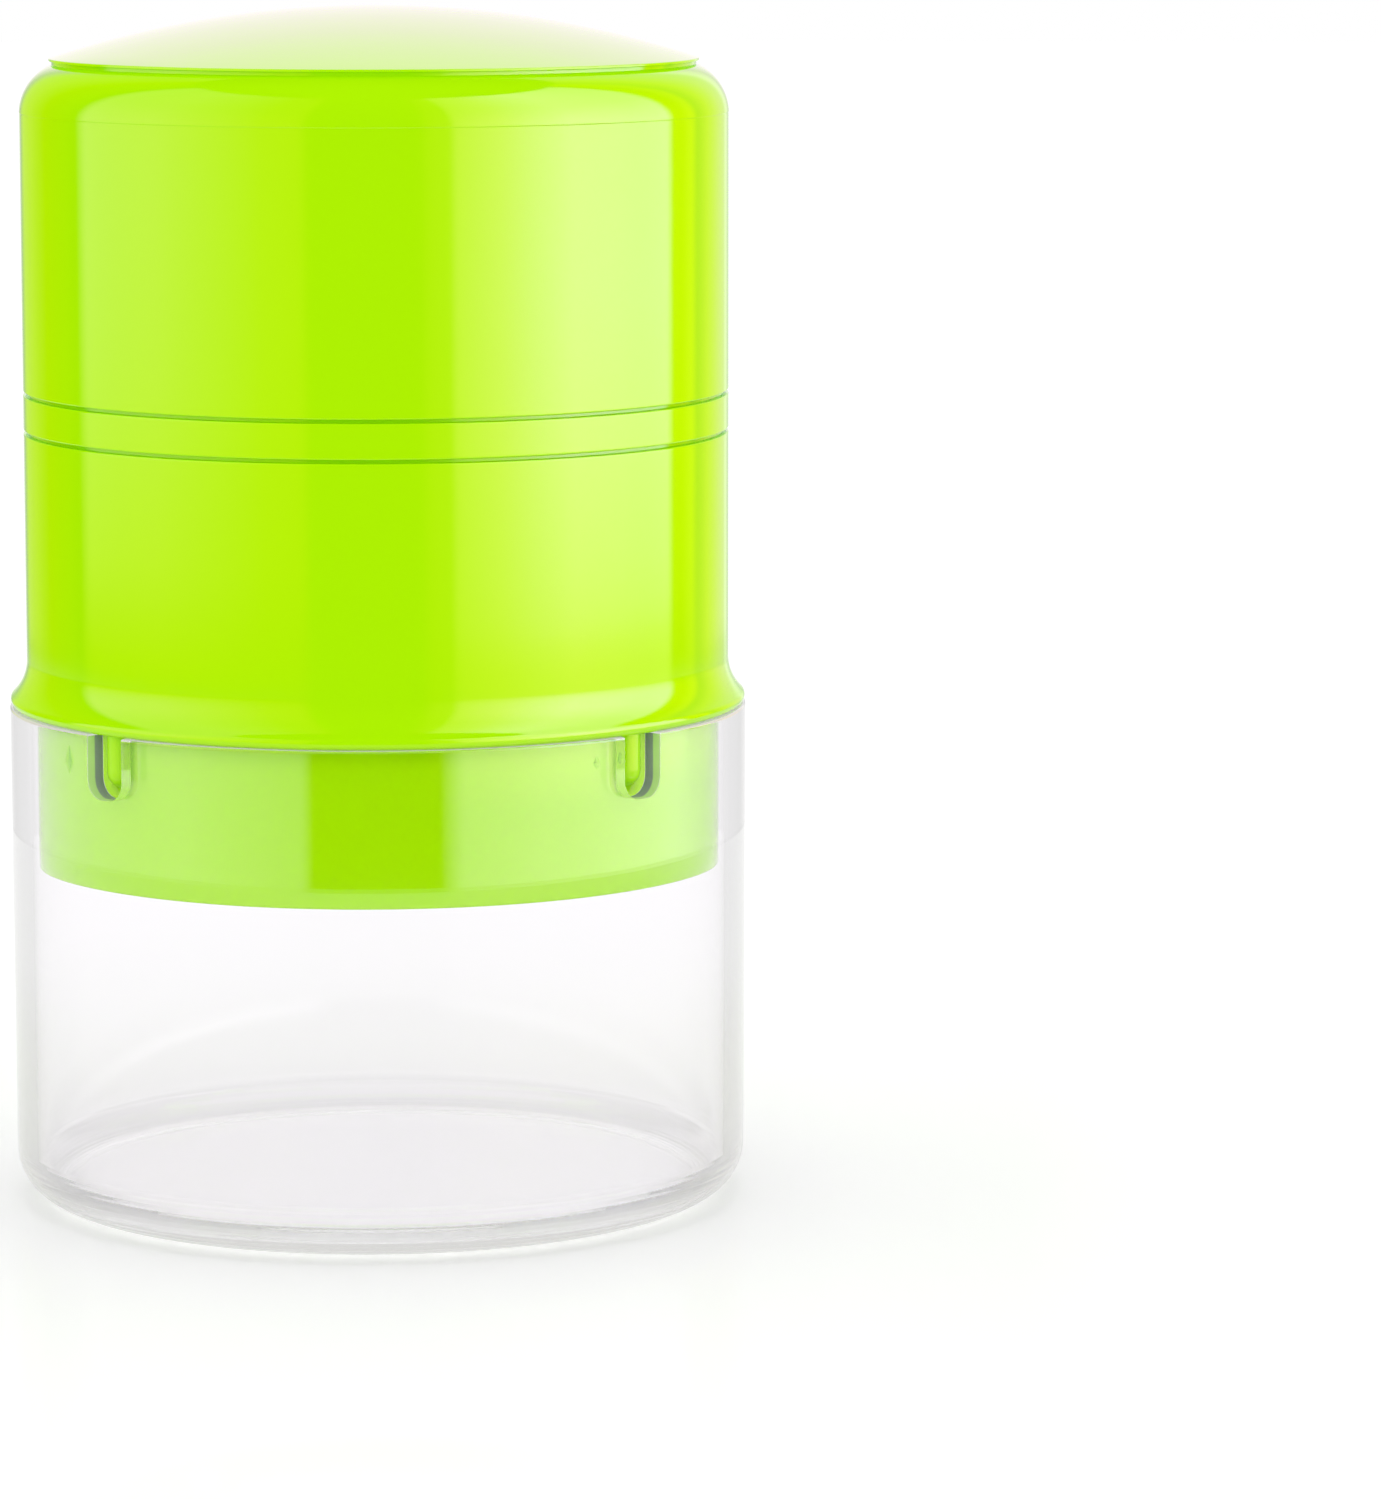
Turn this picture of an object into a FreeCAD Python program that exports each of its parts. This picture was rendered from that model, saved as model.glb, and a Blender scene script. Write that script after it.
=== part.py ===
import FreeCAD, Part
import math
import os
import Sketcher

# Twist-and-press food chopper.
# A clear cup catches the pieces. A green blade housing stands on the cup's rim and drops a skirt into it.
# A drum with four food chambers turns on the housing, and a domed cap closes the drum.
# A sprung pusher in the cap presses the food onto two fixed blades while the cap is twisted.
#
# Frame: millimetres, +Z up, origin at the centre of the cup's base, -Y is the front.
# Profiles are drawn as radius against height in an upright plane through the axis.

# Driving dimensions. Heights that a piece takes from a neighbour are worked out from these further down.
SIZES = {
    # Clear cup
    "cup_radius": 45.0,
    "cup_taper": 0.2,
    "cup_height": 60.8,
    "cup_wall": 2.5,
    "cup_floor": 2.5,
    "cup_corner": 6.0,
    "cup_inner_corner": 4.0,
    "notch_angle": 45.0,
    "notch_width": 6.0,
    "notch_depth": 7.6,
    "notch_corner": 2.4,
    "notch_count": 4,
    # Green shells, outside
    "shell_wall": 2.2,
    "housing_inset": 2.1,
    "housing_height": 33.28,
    "lip_inset": 0.1,
    "lip_bead": 0.8,
    "seam_height": 0.45,
    "seam_land": 1.5,
    "ring_height": 4.22,
    "cap_side_height": 33.35,
    "shoulder_bend": 6.6,
    "shoulder_width": 3.9,
    "dome_overhang": 0.34,
    "dome_rim": 0.3,
    "dome_rise": 6.4,
    "dome_skin": 2.0,
    "dome_step": 0.41,
    "spigot_wall": 1.6,
    # Skirt inside the cup
    "skirt_gap": 0.6,
    "skirt_height": 19.0,
    "skirt_step": 5.2,
    "key_radius": 2.0,
    "key_reach": 2.1,
    "key_height": 6.4,
    "nib_radius": 0.5,
    "nib_top": 2.15,
    "nib_long": 3.5,
    "nib_short": 1.6,
    "nib_left_angle": 302.0,
    "nib_right_angle": 38.0,
    # Clearances
    "slip_gap": 0.4,
    "running_gap": 0.05,
    "seat_gap": 0.3,
    "vane_gap": 0.1,
    "blade_gap": 0.4,
    # Blade plate and its ledge
    "ledge_rise": 1.8,
    "ledge_thickness": 1.6,
    "ledge_width": 2.2,
    "lug_count": 4,
    "lug_angle": 45.0,
    "lug_width": 8.0,
    "lug_inset": 5.5,
    "plate_thickness": 2.5,
    "window_width": 6.2,
    "window_start": 8.6,
    "window_inset": 4.8,
    # Blades
    "blade_inset": 4.2,
    "blade_width": 9.0,
    "blade_thickness": 0.6,
    "blade_lift": 0.4,
    "blade_start": 8.0,
    "blade_overhang": 1.2,
    "blade_screw_inset": 4.5,
    "blade_screw_back": 5.6,
    "blade_boss_height": 2.4,
    # Screws and the centre bolt
    "screw_radius": 1.2,
    "screw_head_radius": 2.3,
    "screw_head_height": 1.3,
    "screw_length": 3.4,
    "boss_wall": 1.7,
    "recess_width": 0.6,
    "recess_depth": 0.7,
    "bolt_radius": 2.5,
    "bolt_head_radius": 4.2,
    "bolt_head_height": 2.2,
    "bolt_socket": 3.0,
    "bolt_tail": 1.0,
    "washer_radius": 6.0,
    "washer_thickness": 0.8,
    "nut_width": 8.0,
    "nut_height": 3.2,
    # Drum and food divider
    "drum_wall": 1.8,
    "neck_height": 12.0,
    "neck_wall": 2.2,
    "spigot_depth": 2.0,
    "groove_depth": 1.1,
    "rib_width": 3.0,
    "rib_height": 24.0,
    "vane_count": 4,
    "vane_thickness": 2.0,
    "vane_height": 22.4,
    "vane_tenon": 0.6,
    "vane_foot": 1.6,
    "hub_radius": 6.5,
    "hub_height": 17.0,
    "bush_radius": 4.0,
    # Cap inside
    "ceiling_drop": 0.85,
    "ceiling_thickness": 2.0,
    "guide_flange_radius": 18.0,
    "guide_flange": 2.0,
    "guide_radius": 8.0,
    "guide_bore": 6.2,
    "guide_depth": 24.0,
    "collar_thickness": 2.5,
    "guide_screw_pitch": 14.6,
    "guide_screw_count": 3,
    "guide_boss_height": 3.0,
    # Pusher
    "stem_radius": 4.0,
    "stem_flat": 3.2,
    "stem_neck": 3.1,
    "stem_end": 1.5,
    "clip_thickness": 1.0,
    "clip_radius": 5.8,
    "clip_mouth": 4.4,
    "pusher_gap": 0.8,
    "pusher_rise": 0.8,
    "foot_wall": 1.8,
    "foot_inner": 8.2,
    "disc_thickness": 4.0,
    "disc_boss": 1.5,
    "socket_depth": 2.7,
    "grip_depth": 0.8,
    "grip_width": 1.6,
    "grip_pitch": 6.0,
    "grip_start": 14.0,
    # Pusher spring
    "wire_radius": 0.65,
    "coil_radius": 10.5,
    "coil_turns": 9,
    "end_pitch": 1.85,
}

# Shares of a piece's own size: a screw's cross, a bolt's socket and the widest place of a nib
RECESS_SHARE = 0.6
SOCKET_SHARE = 0.7
NIB_BELLY = 0.6

# The lip's bead hands over to the cove where both slope at 45 degrees
SLANT = math.sqrt(0.5)

# How far food pushes the pusher up into the cap
PRESS_TRAVEL = 26.0

doc = FreeCAD.newDocument("food_chopper")
sheet = doc.addObject("Spreadsheet::Sheet", "Sizes")
for row, (name, value) in enumerate(SIZES.items(), start=1):
    sheet.set(f"A{row}", name)
    sheet.set(f"B{row}", str(value))
    sheet.setAlias(f"B{row}", name)
doc.recompute()


class Size:
    """A value together with the sheet expression that gives it."""

    def __init__(self, value, text):
        self.value = float(value)
        self.text = text

    def __add__(self, other):
        other = sized(other)
        return Size(self.value + other.value, f"({self.text} + {other.text})")

    def __sub__(self, other):
        other = sized(other)
        return Size(self.value - other.value, f"({self.text} - {other.text})")

    def __mul__(self, other):
        other = sized(other)
        return Size(self.value * other.value, f"({self.text} * {other.text})")

    def __truediv__(self, other):
        other = sized(other)
        return Size(self.value / other.value, f"({self.text} / {other.text})")

    def __neg__(self):
        return Size(-self.value, f"(0 - {self.text})")


def sized(number):
    """Turn a plain count or factor into a Size."""
    return number if isinstance(number, Size) else Size(number, repr(number))


def root(size):
    """Square root of a size."""
    return Size(math.sqrt(size.value), f"sqrt({size.text})")


def arc_rise(radius, half_chord):
    """Distance from a circle's centre to a chord of this half length."""
    return root(radius * radius - half_chord * half_chord)


cell = {name: Size(sheet.get(name), f"Sizes.{name}") for name in SIZES}
ZERO = Size(0.0, "0")

# Heights above the table
RIM_Z = cell["cup_height"]
SKIRT_Z = RIM_Z - cell["skirt_height"]
LEDGE_Z = SKIRT_Z + cell["ledge_rise"]
PLATE_Z = LEDGE_Z + cell["ledge_thickness"]
PLATE_TOP_Z = PLATE_Z + cell["plate_thickness"]
BLADE_Z = PLATE_TOP_Z + cell["blade_lift"]
BLADE_TOP_Z = BLADE_Z + cell["blade_thickness"]
DRUM_Z = BLADE_TOP_Z + cell["blade_gap"]
HUB_TOP_Z = DRUM_Z + cell["hub_height"]
BUSH_TOP_Z = HUB_TOP_Z + cell["seat_gap"]
WASHER_Z = BUSH_TOP_Z + cell["running_gap"]
NUT_Z = WASHER_Z + cell["washer_thickness"]
BOLT_TOP_Z = NUT_Z + cell["nut_height"] + cell["bolt_tail"]
VANE_TOP_Z = DRUM_Z + cell["vane_height"]
HOUSING_TOP_Z = RIM_Z + cell["housing_height"]
RING_Z = HOUSING_TOP_Z + cell["seam_height"]
RING_TOP_Z = RING_Z + cell["ring_height"]
CAP_Z = RING_TOP_Z + cell["seam_height"]
NECK_TOP_Z = CAP_Z + cell["neck_height"]
SHOULDER_Z = CAP_Z + cell["cap_side_height"]
FOOT_Z = DRUM_Z + cell["pusher_rise"]
DISC_Z = VANE_TOP_Z + cell["pusher_rise"] * 2
DISC_TOP_Z = DISC_Z + cell["disc_thickness"]

# Radii, each one from its neighbour outside
CUP_BASE_RADIUS = cell["cup_radius"] - cell["cup_taper"]
SHELL_RADIUS = cell["cup_radius"] - cell["housing_inset"]
SHELL_BORE = SHELL_RADIUS - cell["shell_wall"]
SKIRT_RADIUS = CUP_BASE_RADIUS - cell["cup_wall"] - cell["skirt_gap"]
SKIRT_BORE = SKIRT_RADIUS - cell["shell_wall"]
LAND_RADIUS = SHELL_BORE + cell["seam_land"]
PLATE_RADIUS = SKIRT_BORE - cell["seat_gap"]
LUG_PITCH = SKIRT_BORE - cell["lug_inset"]
WINDOW_LENGTH = PLATE_RADIUS - cell["window_inset"] - cell["window_start"]
BLADE_LENGTH = PLATE_RADIUS - cell["blade_inset"] - cell["blade_start"]
LEDGE_BORE = SKIRT_BORE - cell["ledge_width"]
DRUM_RADIUS = SKIRT_BORE - cell["slip_gap"]
DRUM_BORE = DRUM_RADIUS - cell["drum_wall"]
NECK_RADIUS = SHELL_BORE - cell["slip_gap"]
NECK_BORE = NECK_RADIUS - cell["neck_wall"]
GROOVE_RADIUS = NECK_RADIUS - cell["groove_depth"]
RIB_TIP_RADIUS = GROOVE_RADIUS + cell["seat_gap"]
TENON_RADIUS = DRUM_BORE + cell["vane_tenon"]
BUSH_BORE = cell["bolt_radius"] + cell["running_gap"]
FOOT_RADIUS = DRUM_BORE - cell["pusher_gap"]
PILOT_RADIUS = cell["screw_radius"] + cell["running_gap"]
SCREW_PASS_RADIUS = cell["screw_radius"] + cell["seat_gap"]
BOSS_RADIUS = cell["screw_radius"] + cell["boss_wall"]

# Cap heights that follow from its shoulder and the dome
SEAT_RADIUS = SHELL_RADIUS - cell["shoulder_width"]
DOME_RADIUS = SEAT_RADIUS + cell["dome_overhang"]
SHOULDER_RUN = cell["shoulder_bend"] - cell["shoulder_width"]
SHOULDER_TOP_Z = SHOULDER_Z + arc_rise(cell["shoulder_bend"], SHOULDER_RUN)
DOME_Z = SHOULDER_TOP_Z + cell["dome_step"]
DOME_EDGE_Z = DOME_Z + cell["dome_rim"]
CEILING_TOP_Z = SHOULDER_Z + cell["ceiling_drop"]
CEILING_Z = CEILING_TOP_Z - cell["ceiling_thickness"]
GUIDE_SEAT_Z = CEILING_Z - cell["guide_flange"]
COLLAR_Z = GUIDE_SEAT_Z - cell["guide_depth"]
COLLAR_TOP_Z = COLLAR_Z + cell["collar_thickness"]
STEM_Z = DISC_TOP_Z + cell["disc_boss"] - cell["socket_depth"]
CLIP_TOP_Z = COLLAR_TOP_Z + cell["clip_thickness"]
STEM_TOP_Z = CLIP_TOP_Z + cell["stem_end"]


def new_body(label):
    """Make an empty body whose label names its file."""
    body = doc.addObject("PartDesign::Body", label)
    body.Label = label
    return body


def origin_part(body, role):
    """Find one of a body's own origin planes or axes."""
    return next(part for part in body.Origin.OriginFeatures if part.Role == role)


def tie(target, path, size):
    """Bind one property of an object to the sheet."""
    target.setExpression(path, size.text)


def new_sketch(body, name, role="XZ_Plane", lift=None, turn=None):
    """Sketch on an origin plane, lifted along its normal and turned about the vertical."""
    sketch = body.newObject("Sketcher::SketchObject", name)
    sketch.AttachmentSupport = [(origin_part(body, role), "")]
    sketch.MapMode = "FlatFace"
    upright = FreeCAD.Vector(0, 1, 0) if role == "XZ_Plane" else FreeCAD.Vector(0, 0, 1)
    height = lift.value if lift else 0.0
    angle = turn.value if turn else 0.0
    sketch.AttachmentOffset = FreeCAD.Placement(
        FreeCAD.Vector(0, 0, height), FreeCAD.Rotation(upright, angle))
    if lift:
        tie(sketch, "AttachmentOffset.Base.z", lift)
    if turn:
        tie(sketch, "AttachmentOffset.Rotation.Angle", turn)
    return sketch


def point(corner):
    """A corner as a sketch vector."""
    return FreeCAD.Vector(corner[0].value, corner[1].value, 0)


def bent_edge(start, end, bend):
    """Arc from start to end. A positive bend radius turns left along the way, a negative one right."""
    chord = end - start
    side = FreeCAD.Vector(-chord.y, chord.x, 0).normalize()
    radius = abs(bend)
    reach = math.sqrt(radius * radius - chord.Length ** 2 / 4)
    middle = (start + end) / 2
    sign = 1 if bend > 0 else -1
    crown = middle - side * sign * (radius - reach)
    return Part.Arc(start, crown, end)


def outline(sketch, corners):
    """Closed outline through corners (across, up[, bend radius of the edge that leaves it])."""
    first = sketch.GeometryCount
    count = len(corners)
    for index, corner in enumerate(corners):
        start = point(corner)
        end = point(corners[(index + 1) % count])
        if len(corner) == 3:
            sketch.addGeometry(bent_edge(start, end, corner[2].value), False)
        else:
            sketch.addGeometry(Part.LineSegment(start, end), False)
    for index, corner in enumerate(corners):
        edge = first + index
        before = first + (index - 1) % count
        leaving = end_at(sketch, edge, point(corner))
        arriving = end_at(sketch, before, point(corner))
        sketch.addConstraint(Sketcher.Constraint("Coincident", before, arriving, edge, leaving))
        place_point(sketch, edge, leaving, corner)
        if len(corner) == 3:
            bend = corner[2] if corner[2].value > 0 else -corner[2]
            tied_constraint(sketch, Sketcher.Constraint("Radius", edge, bend.value), bend)


def end_at(sketch, edge, target):
    """Which end of an edge lies on the target: 1 for its start, 2 for its end."""
    starts_there = sketch.getPoint(edge, 1).distanceToPoint(target) < sketch.getPoint(edge, 2).distanceToPoint(target)
    return 1 if starts_there else 2


def tied_constraint(sketch, constraint, size):
    """Add a dimension and bind it to the sheet."""
    number = sketch.addConstraint(constraint)
    sketch.setExpression(f"Constraints[{number}]", size.text)


def place_point(sketch, edge, end, corner):
    """Fix a point's two coordinates from the sheet."""
    tied_constraint(sketch, Sketcher.Constraint("DistanceX", edge, end, corner[0].value), corner[0])
    tied_constraint(sketch, Sketcher.Constraint("DistanceY", edge, end, corner[1].value), corner[1])


def ring(sketch, across, up, radius):
    """Circle with its centre and radius from the sheet."""
    edge = sketch.addGeometry(Part.Circle(point((across, up)), FreeCAD.Vector(0, 0, 1), radius.value), False)
    place_point(sketch, edge, 3, (across, up))
    tied_constraint(sketch, Sketcher.Constraint("Radius", edge, radius.value), radius)


def box(left, low, right, high):
    """Corners of an upright rectangle."""
    return [(left, low), (right, low), (right, high), (left, high)]


def hexagon(across_flats):
    """Corners of a hexagon about the origin."""
    corner = across_flats / root(sized(3))
    half = across_flats / 2
    return [(corner, ZERO), (corner / 2, half), (-(corner / 2), half),
            (-corner, ZERO), (-(corner / 2), -half), (corner / 2, -half)]


def post_axis(sketch, across):
    """Upright construction line to revolve a small post about."""
    start = FreeCAD.Vector(across.value, 0, 0)
    end = FreeCAD.Vector(across.value, 1, 0)
    edge = sketch.addGeometry(Part.LineSegment(start, end), True)
    place_point(sketch, edge, 1, (across, ZERO))
    place_point(sketch, edge, 2, (across, sized(1)))


def revolve(body, name, sketch, axis="V_Axis", cut=False):
    """Turn a sketch full circle about one of its lines, to add or to cut."""
    feature = body.newObject("PartDesign::Groove" if cut else "PartDesign::Revolution", name)
    feature.Profile = sketch
    feature.ReferenceAxis = (sketch, [axis])
    feature.Angle = 360
    return feature


def extrude(body, name, sketch, length, cut=False, midplane=False, reverse=False):
    """Pad or pocket a sketch by a length from the sheet."""
    feature = body.newObject("PartDesign::Pocket" if cut else "PartDesign::Pad", name)
    feature.Profile = sketch
    feature.Length = length.value
    feature.Midplane = midplane
    feature.Reversed = reverse
    tie(feature, "Length", length)
    return feature


def around(body, name, originals, count):
    """Repeat features evenly round the vertical axis."""
    pattern = body.newObject("PartDesign::PolarPattern", name)
    pattern.Originals = originals
    pattern.Axis = (origin_part(body, "Z_Axis"), [""])
    pattern.Angle = 360
    pattern.Occurrences = int(count.value)
    tie(pattern, "Occurrences", count)
    body.Tip = pattern
    return pattern


def turned(label, corners):
    """Body made by one full revolution of an outline."""
    body = new_body(label)
    sketch = new_sketch(body, label + "_profile")
    outline(sketch, corners)
    revolve(body, label + "_turned", sketch)
    return body


def radial_slab(body, name, corners, width, cut=False, turn=None):
    """Slab of even width standing in an upright plane through the axis."""
    sketch = new_sketch(body, name + "_sketch", turn=turn)
    outline(sketch, corners)
    return extrude(body, name, sketch, width, cut=cut, midplane=True)


def post(body, name, across, corners, cut=False, turn=None):
    """Small round post, or hole, about an upright line off the axis."""
    sketch = new_sketch(body, name + "_sketch", turn=turn)
    outline(sketch, corners)
    post_axis(sketch, across)
    return revolve(body, name, sketch, axis="Axis0", cut=cut)


def screws(label, pitch, seat, direction, count, turn=None):
    """Identical pan-headed screws on a circle. Direction is 1 where they point up and -1 where they point down."""
    body = new_body(label)
    head = cell["screw_head_radius"]
    shank = cell["screw_radius"]
    head_end = seat - cell["screw_head_height"] * direction
    shank_end = seat + cell["screw_length"] * direction
    corners = [(pitch, head_end), (pitch + head, head_end), (pitch + head, seat),
               (pitch + shank, seat), (pitch + shank, shank_end), (pitch, shank_end)]
    shape = post(body, label + "_shape", pitch, corners, turn=turn)
    recess = new_sketch(body, label + "_recess", "XY_Plane", lift=head_end, turn=turn)
    half = cell["recess_width"] / 2
    arm = head * RECESS_SHARE
    outline(recess, [
        (pitch - arm, -half), (pitch - half, -half), (pitch - half, -arm), (pitch + half, -arm),
        (pitch + half, -half), (pitch + arm, -half), (pitch + arm, half), (pitch + half, half),
        (pitch + half, arm), (pitch - half, arm), (pitch - half, half), (pitch - arm, half)])
    cross = extrude(body, label + "_cross", recess, cell["recess_depth"], cut=True, reverse=direction > 0)
    around(body, label + "_set", [shape, cross], count)
    return body


def clear_cup():
    """Clear cup with four round-cornered notches in its rim."""
    base, wall, floor = CUP_BASE_RADIUS, cell["cup_wall"], cell["cup_floor"]
    corner, inner = cell["cup_corner"], cell["cup_inner_corner"]
    body = turned("clear_cup", [
        (ZERO, ZERO),
        (base - corner, ZERO, corner),
        (base, corner),
        (cell["cup_radius"], RIM_Z),
        (cell["cup_radius"] - wall, RIM_Z),
        (base - wall, floor + inner, -inner),
        (base - wall - inner, floor),
        (ZERO, floor)])
    half, bend = cell["notch_width"] / 2, cell["notch_corner"]
    low = RIM_Z - cell["notch_depth"]
    over = RIM_Z + cell["notch_depth"]
    sketch = new_sketch(body, "notch_sketch", turn=cell["notch_angle"])
    outline(sketch, [
        (-half, over), (-half, low + bend, bend), (-half + bend, low),
        (half - bend, low, bend), (half, low + bend), (half, over)])
    notch = extrude(body, "notch", sketch, cell["cup_radius"] * 2, cut=True)
    around(body, "notches", [notch], cell["notch_count"])
    return body


def blade_housing():
    """Green lower shell: lip on the cup's rim, skirt with keys inside the cup, ledge for the blade plate."""
    outer, skirt = SHELL_RADIUS, SKIRT_RADIUS
    lip = cell["cup_radius"] - cell["lip_inset"]
    bead = cell["lip_bead"]
    cove_start = lip - bead + bead * SLANT
    cove_bend = (cove_start - outer) / (1 - SLANT)
    cove_z = RIM_Z + bead + bead * SLANT
    step_z = RIM_Z + cell["skirt_step"]
    body = turned("blade_housing", [
        (skirt, SKIRT_Z),
        (skirt, RIM_Z),
        (lip - bead, RIM_Z, bead),
        (lip, RIM_Z + bead, bead),
        (cove_start, cove_z, -cove_bend),
        (outer, cove_z + cove_bend * SLANT),
        (outer, HOUSING_TOP_Z),
        (LAND_RADIUS, HOUSING_TOP_Z),
        (LAND_RADIUS, RING_Z),
        (SHELL_BORE, RING_Z),
        (SHELL_BORE, step_z),
        (SKIRT_BORE, step_z - cell["slip_gap"] * 3),
        (SKIRT_BORE, PLATE_Z),
        (LEDGE_BORE, PLATE_Z),
        (LEDGE_BORE, LEDGE_Z),
        (SKIRT_BORE, LEDGE_Z - cell["ledge_thickness"] / 2),
        (SKIRT_BORE, SKIRT_Z)])
    lug_end = LUG_PITCH - BOSS_RADIUS
    lug = radial_slab(body, "lug", box(lug_end, LEDGE_Z, SKIRT_BORE, PLATE_Z),
                      cell["lug_width"], turn=cell["lug_angle"])
    pitch = LUG_PITCH
    hole = post(body, "lug_hole", pitch, box(pitch, LEDGE_Z - 1, pitch + SCREW_PASS_RADIUS, PLATE_Z + 1),
                cut=True, turn=cell["lug_angle"])
    around(body, "lugs", [lug, hole], cell["lug_count"])
    centre = skirt + cell["key_reach"] - cell["key_radius"]
    key_end = RIM_Z - cell["key_height"]
    key = post(body, "key", centre, [
        (centre, key_end, cell["key_radius"]),
        (centre + cell["key_radius"], key_end + cell["key_radius"]),
        (centre + cell["key_radius"], RIM_Z),
        (centre, RIM_Z)], turn=cell["notch_angle"])
    around(body, "keys", [key], cell["notch_count"])
    for name, length, angle in (("left", "nib_long", "nib_left_angle"), ("right", "nib_short", "nib_right_angle")):
        top = RIM_Z - cell["nib_top"]
        middle = top - cell[length] * NIB_BELLY
        nib = post(body, f"nib_{name}", skirt, [
            (skirt, top - cell[length]),
            (skirt + cell["nib_radius"], middle),
            (skirt, top)], turn=cell[angle] - 90)
        around(body, f"nibs_{name}", [nib], sized(2))
    return body


def blade_plate():
    """Round plate with two slicing windows, raised blade pads and screw bosses underneath."""
    body = turned("blade_plate", [
        (BUSH_BORE, PLATE_Z), (PLATE_RADIUS, PLATE_Z), (PLATE_RADIUS, PLATE_TOP_Z), (BUSH_BORE, PLATE_TOP_Z)])
    start, length = cell["window_start"], WINDOW_LENGTH
    window_sketch = new_sketch(body, "window_sketch", "XY_Plane", lift=PLATE_TOP_Z)
    outline(window_sketch, box(start, ZERO, start + length, cell["window_width"]))
    window = extrude(body, "window", window_sketch, cell["plate_thickness"] * 2, cut=True)
    pad_sketch = new_sketch(body, "pad_sketch", "XY_Plane", lift=PLATE_TOP_Z)
    blade_start = cell["blade_start"]
    outline(pad_sketch, box(blade_start, cell["blade_overhang"] - cell["blade_width"],
                            blade_start + BLADE_LENGTH, ZERO))
    pad = extrude(body, "pad", pad_sketch, cell["blade_lift"])
    around(body, "windows", [window, pad], sized(2))
    bosses = []
    for name, pitch in BLADE_SCREWS:
        boss_sketch = new_sketch(body, f"{name}_boss_sketch", "XY_Plane", lift=PLATE_Z)
        ring(boss_sketch, pitch, -cell["blade_screw_back"], BOSS_RADIUS)
        bosses.append(extrude(body, f"{name}_boss", boss_sketch, cell["blade_boss_height"], reverse=True))
    around(body, "bosses", bosses, sized(2))
    pilots = []
    for name, pitch in BLADE_SCREWS:
        pilot_sketch = new_sketch(body, f"{name}_pilot_sketch", "XY_Plane", lift=BLADE_Z)
        ring(pilot_sketch, pitch, -cell["blade_screw_back"], PILOT_RADIUS)
        pilots.append(extrude(body, f"{name}_pilot", pilot_sketch, cell["screw_length"] + cell["seat_gap"], cut=True))
    around(body, "pilots", pilots, sized(2))
    pitch = LUG_PITCH
    depth = cell["screw_length"] - cell["ledge_thickness"] + cell["seat_gap"]
    tap = post(body, "tap", pitch, box(pitch, PLATE_Z - 1, pitch + PILOT_RADIUS, PLATE_Z + depth),
               cut=True, turn=cell["lug_angle"])
    around(body, "taps", [tap], cell["lug_count"])
    return body


def slicing_blade(label, turn):
    """Flat steel blade with a ground edge and two countersunk holes."""
    body = new_body(label)
    start, back = cell["blade_start"], cell["blade_overhang"] - cell["blade_width"]
    edge, thick = cell["blade_overhang"], cell["blade_thickness"]
    sketch = new_sketch(body, label + "_section", "YZ_Plane", lift=start)
    outline(sketch, [(back, BLADE_Z), (edge - thick * 2, BLADE_Z), (edge, BLADE_TOP_Z), (back, BLADE_TOP_Z)])
    extrude(body, label + "_strip", sketch, BLADE_LENGTH)
    for name, pitch in BLADE_SCREWS:
        hole = new_sketch(body, f"{label}_{name}_sketch", "XY_Plane", lift=BLADE_TOP_Z)
        ring(hole, pitch, -cell["blade_screw_back"], cell["screw_head_radius"] + cell["running_gap"])
        extrude(body, f"{label}_{name}_hole", hole, thick * 2, cut=True)
    body.Placement = FreeCAD.Placement(FreeCAD.Vector(), FreeCAD.Rotation(FreeCAD.Vector(0, 0, 1), turn))
    return body


def blade_screws():
    """Four small flat-headed screws, two through each blade."""
    body = new_body("blade_screws")
    head = cell["screw_head_radius"]
    shank = cell["screw_radius"]
    across = -cell["blade_screw_back"]
    made = []
    for name, pitch in BLADE_SCREWS:
        head_sketch = new_sketch(body, f"{name}_head_sketch", "XY_Plane", lift=BLADE_Z)
        ring(head_sketch, pitch, across, head)
        made.append(extrude(body, f"{name}_head", head_sketch, cell["blade_thickness"]))
        shank_sketch = new_sketch(body, f"{name}_shank_sketch", "XY_Plane", lift=BLADE_Z)
        ring(shank_sketch, pitch, across, shank)
        made.append(extrude(body, f"{name}_shank", shank_sketch, cell["screw_length"], reverse=True))
        slot_sketch = new_sketch(body, f"{name}_slot_sketch", "XY_Plane", lift=BLADE_TOP_Z)
        half = cell["recess_width"] / 2
        outline(slot_sketch, box(pitch - head * 2, across - half, pitch + head * 2, across + half))
        made.append(extrude(body, f"{name}_slot", slot_sketch, cell["blade_thickness"] / 2, cut=True))
    around(body, "blade_screw_set", made, sized(2))
    return body


def centre_bolt():
    """Bolt from below through the plate, on which the drum's bush turns."""
    head_z = PLATE_Z - cell["bolt_head_height"]
    body = turned("centre_bolt", [
        (ZERO, head_z),
        (cell["bolt_head_radius"], head_z),
        (cell["bolt_head_radius"], PLATE_Z),
        (cell["bolt_radius"], PLATE_Z),
        (cell["bolt_radius"], BOLT_TOP_Z),
        (ZERO, BOLT_TOP_Z)])
    socket = new_sketch(body, "socket_sketch", "XY_Plane", lift=head_z)
    outline(socket, hexagon(cell["bolt_socket"]))
    extrude(body, "socket", socket, cell["bolt_head_height"] * SOCKET_SHARE, cut=True, reverse=True)
    return body


def hub_washer():
    """Washer over the bush, with a running gap under it."""
    return turned("hub_washer", box(BUSH_BORE, WASHER_Z, cell["washer_radius"], NUT_Z))


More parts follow.
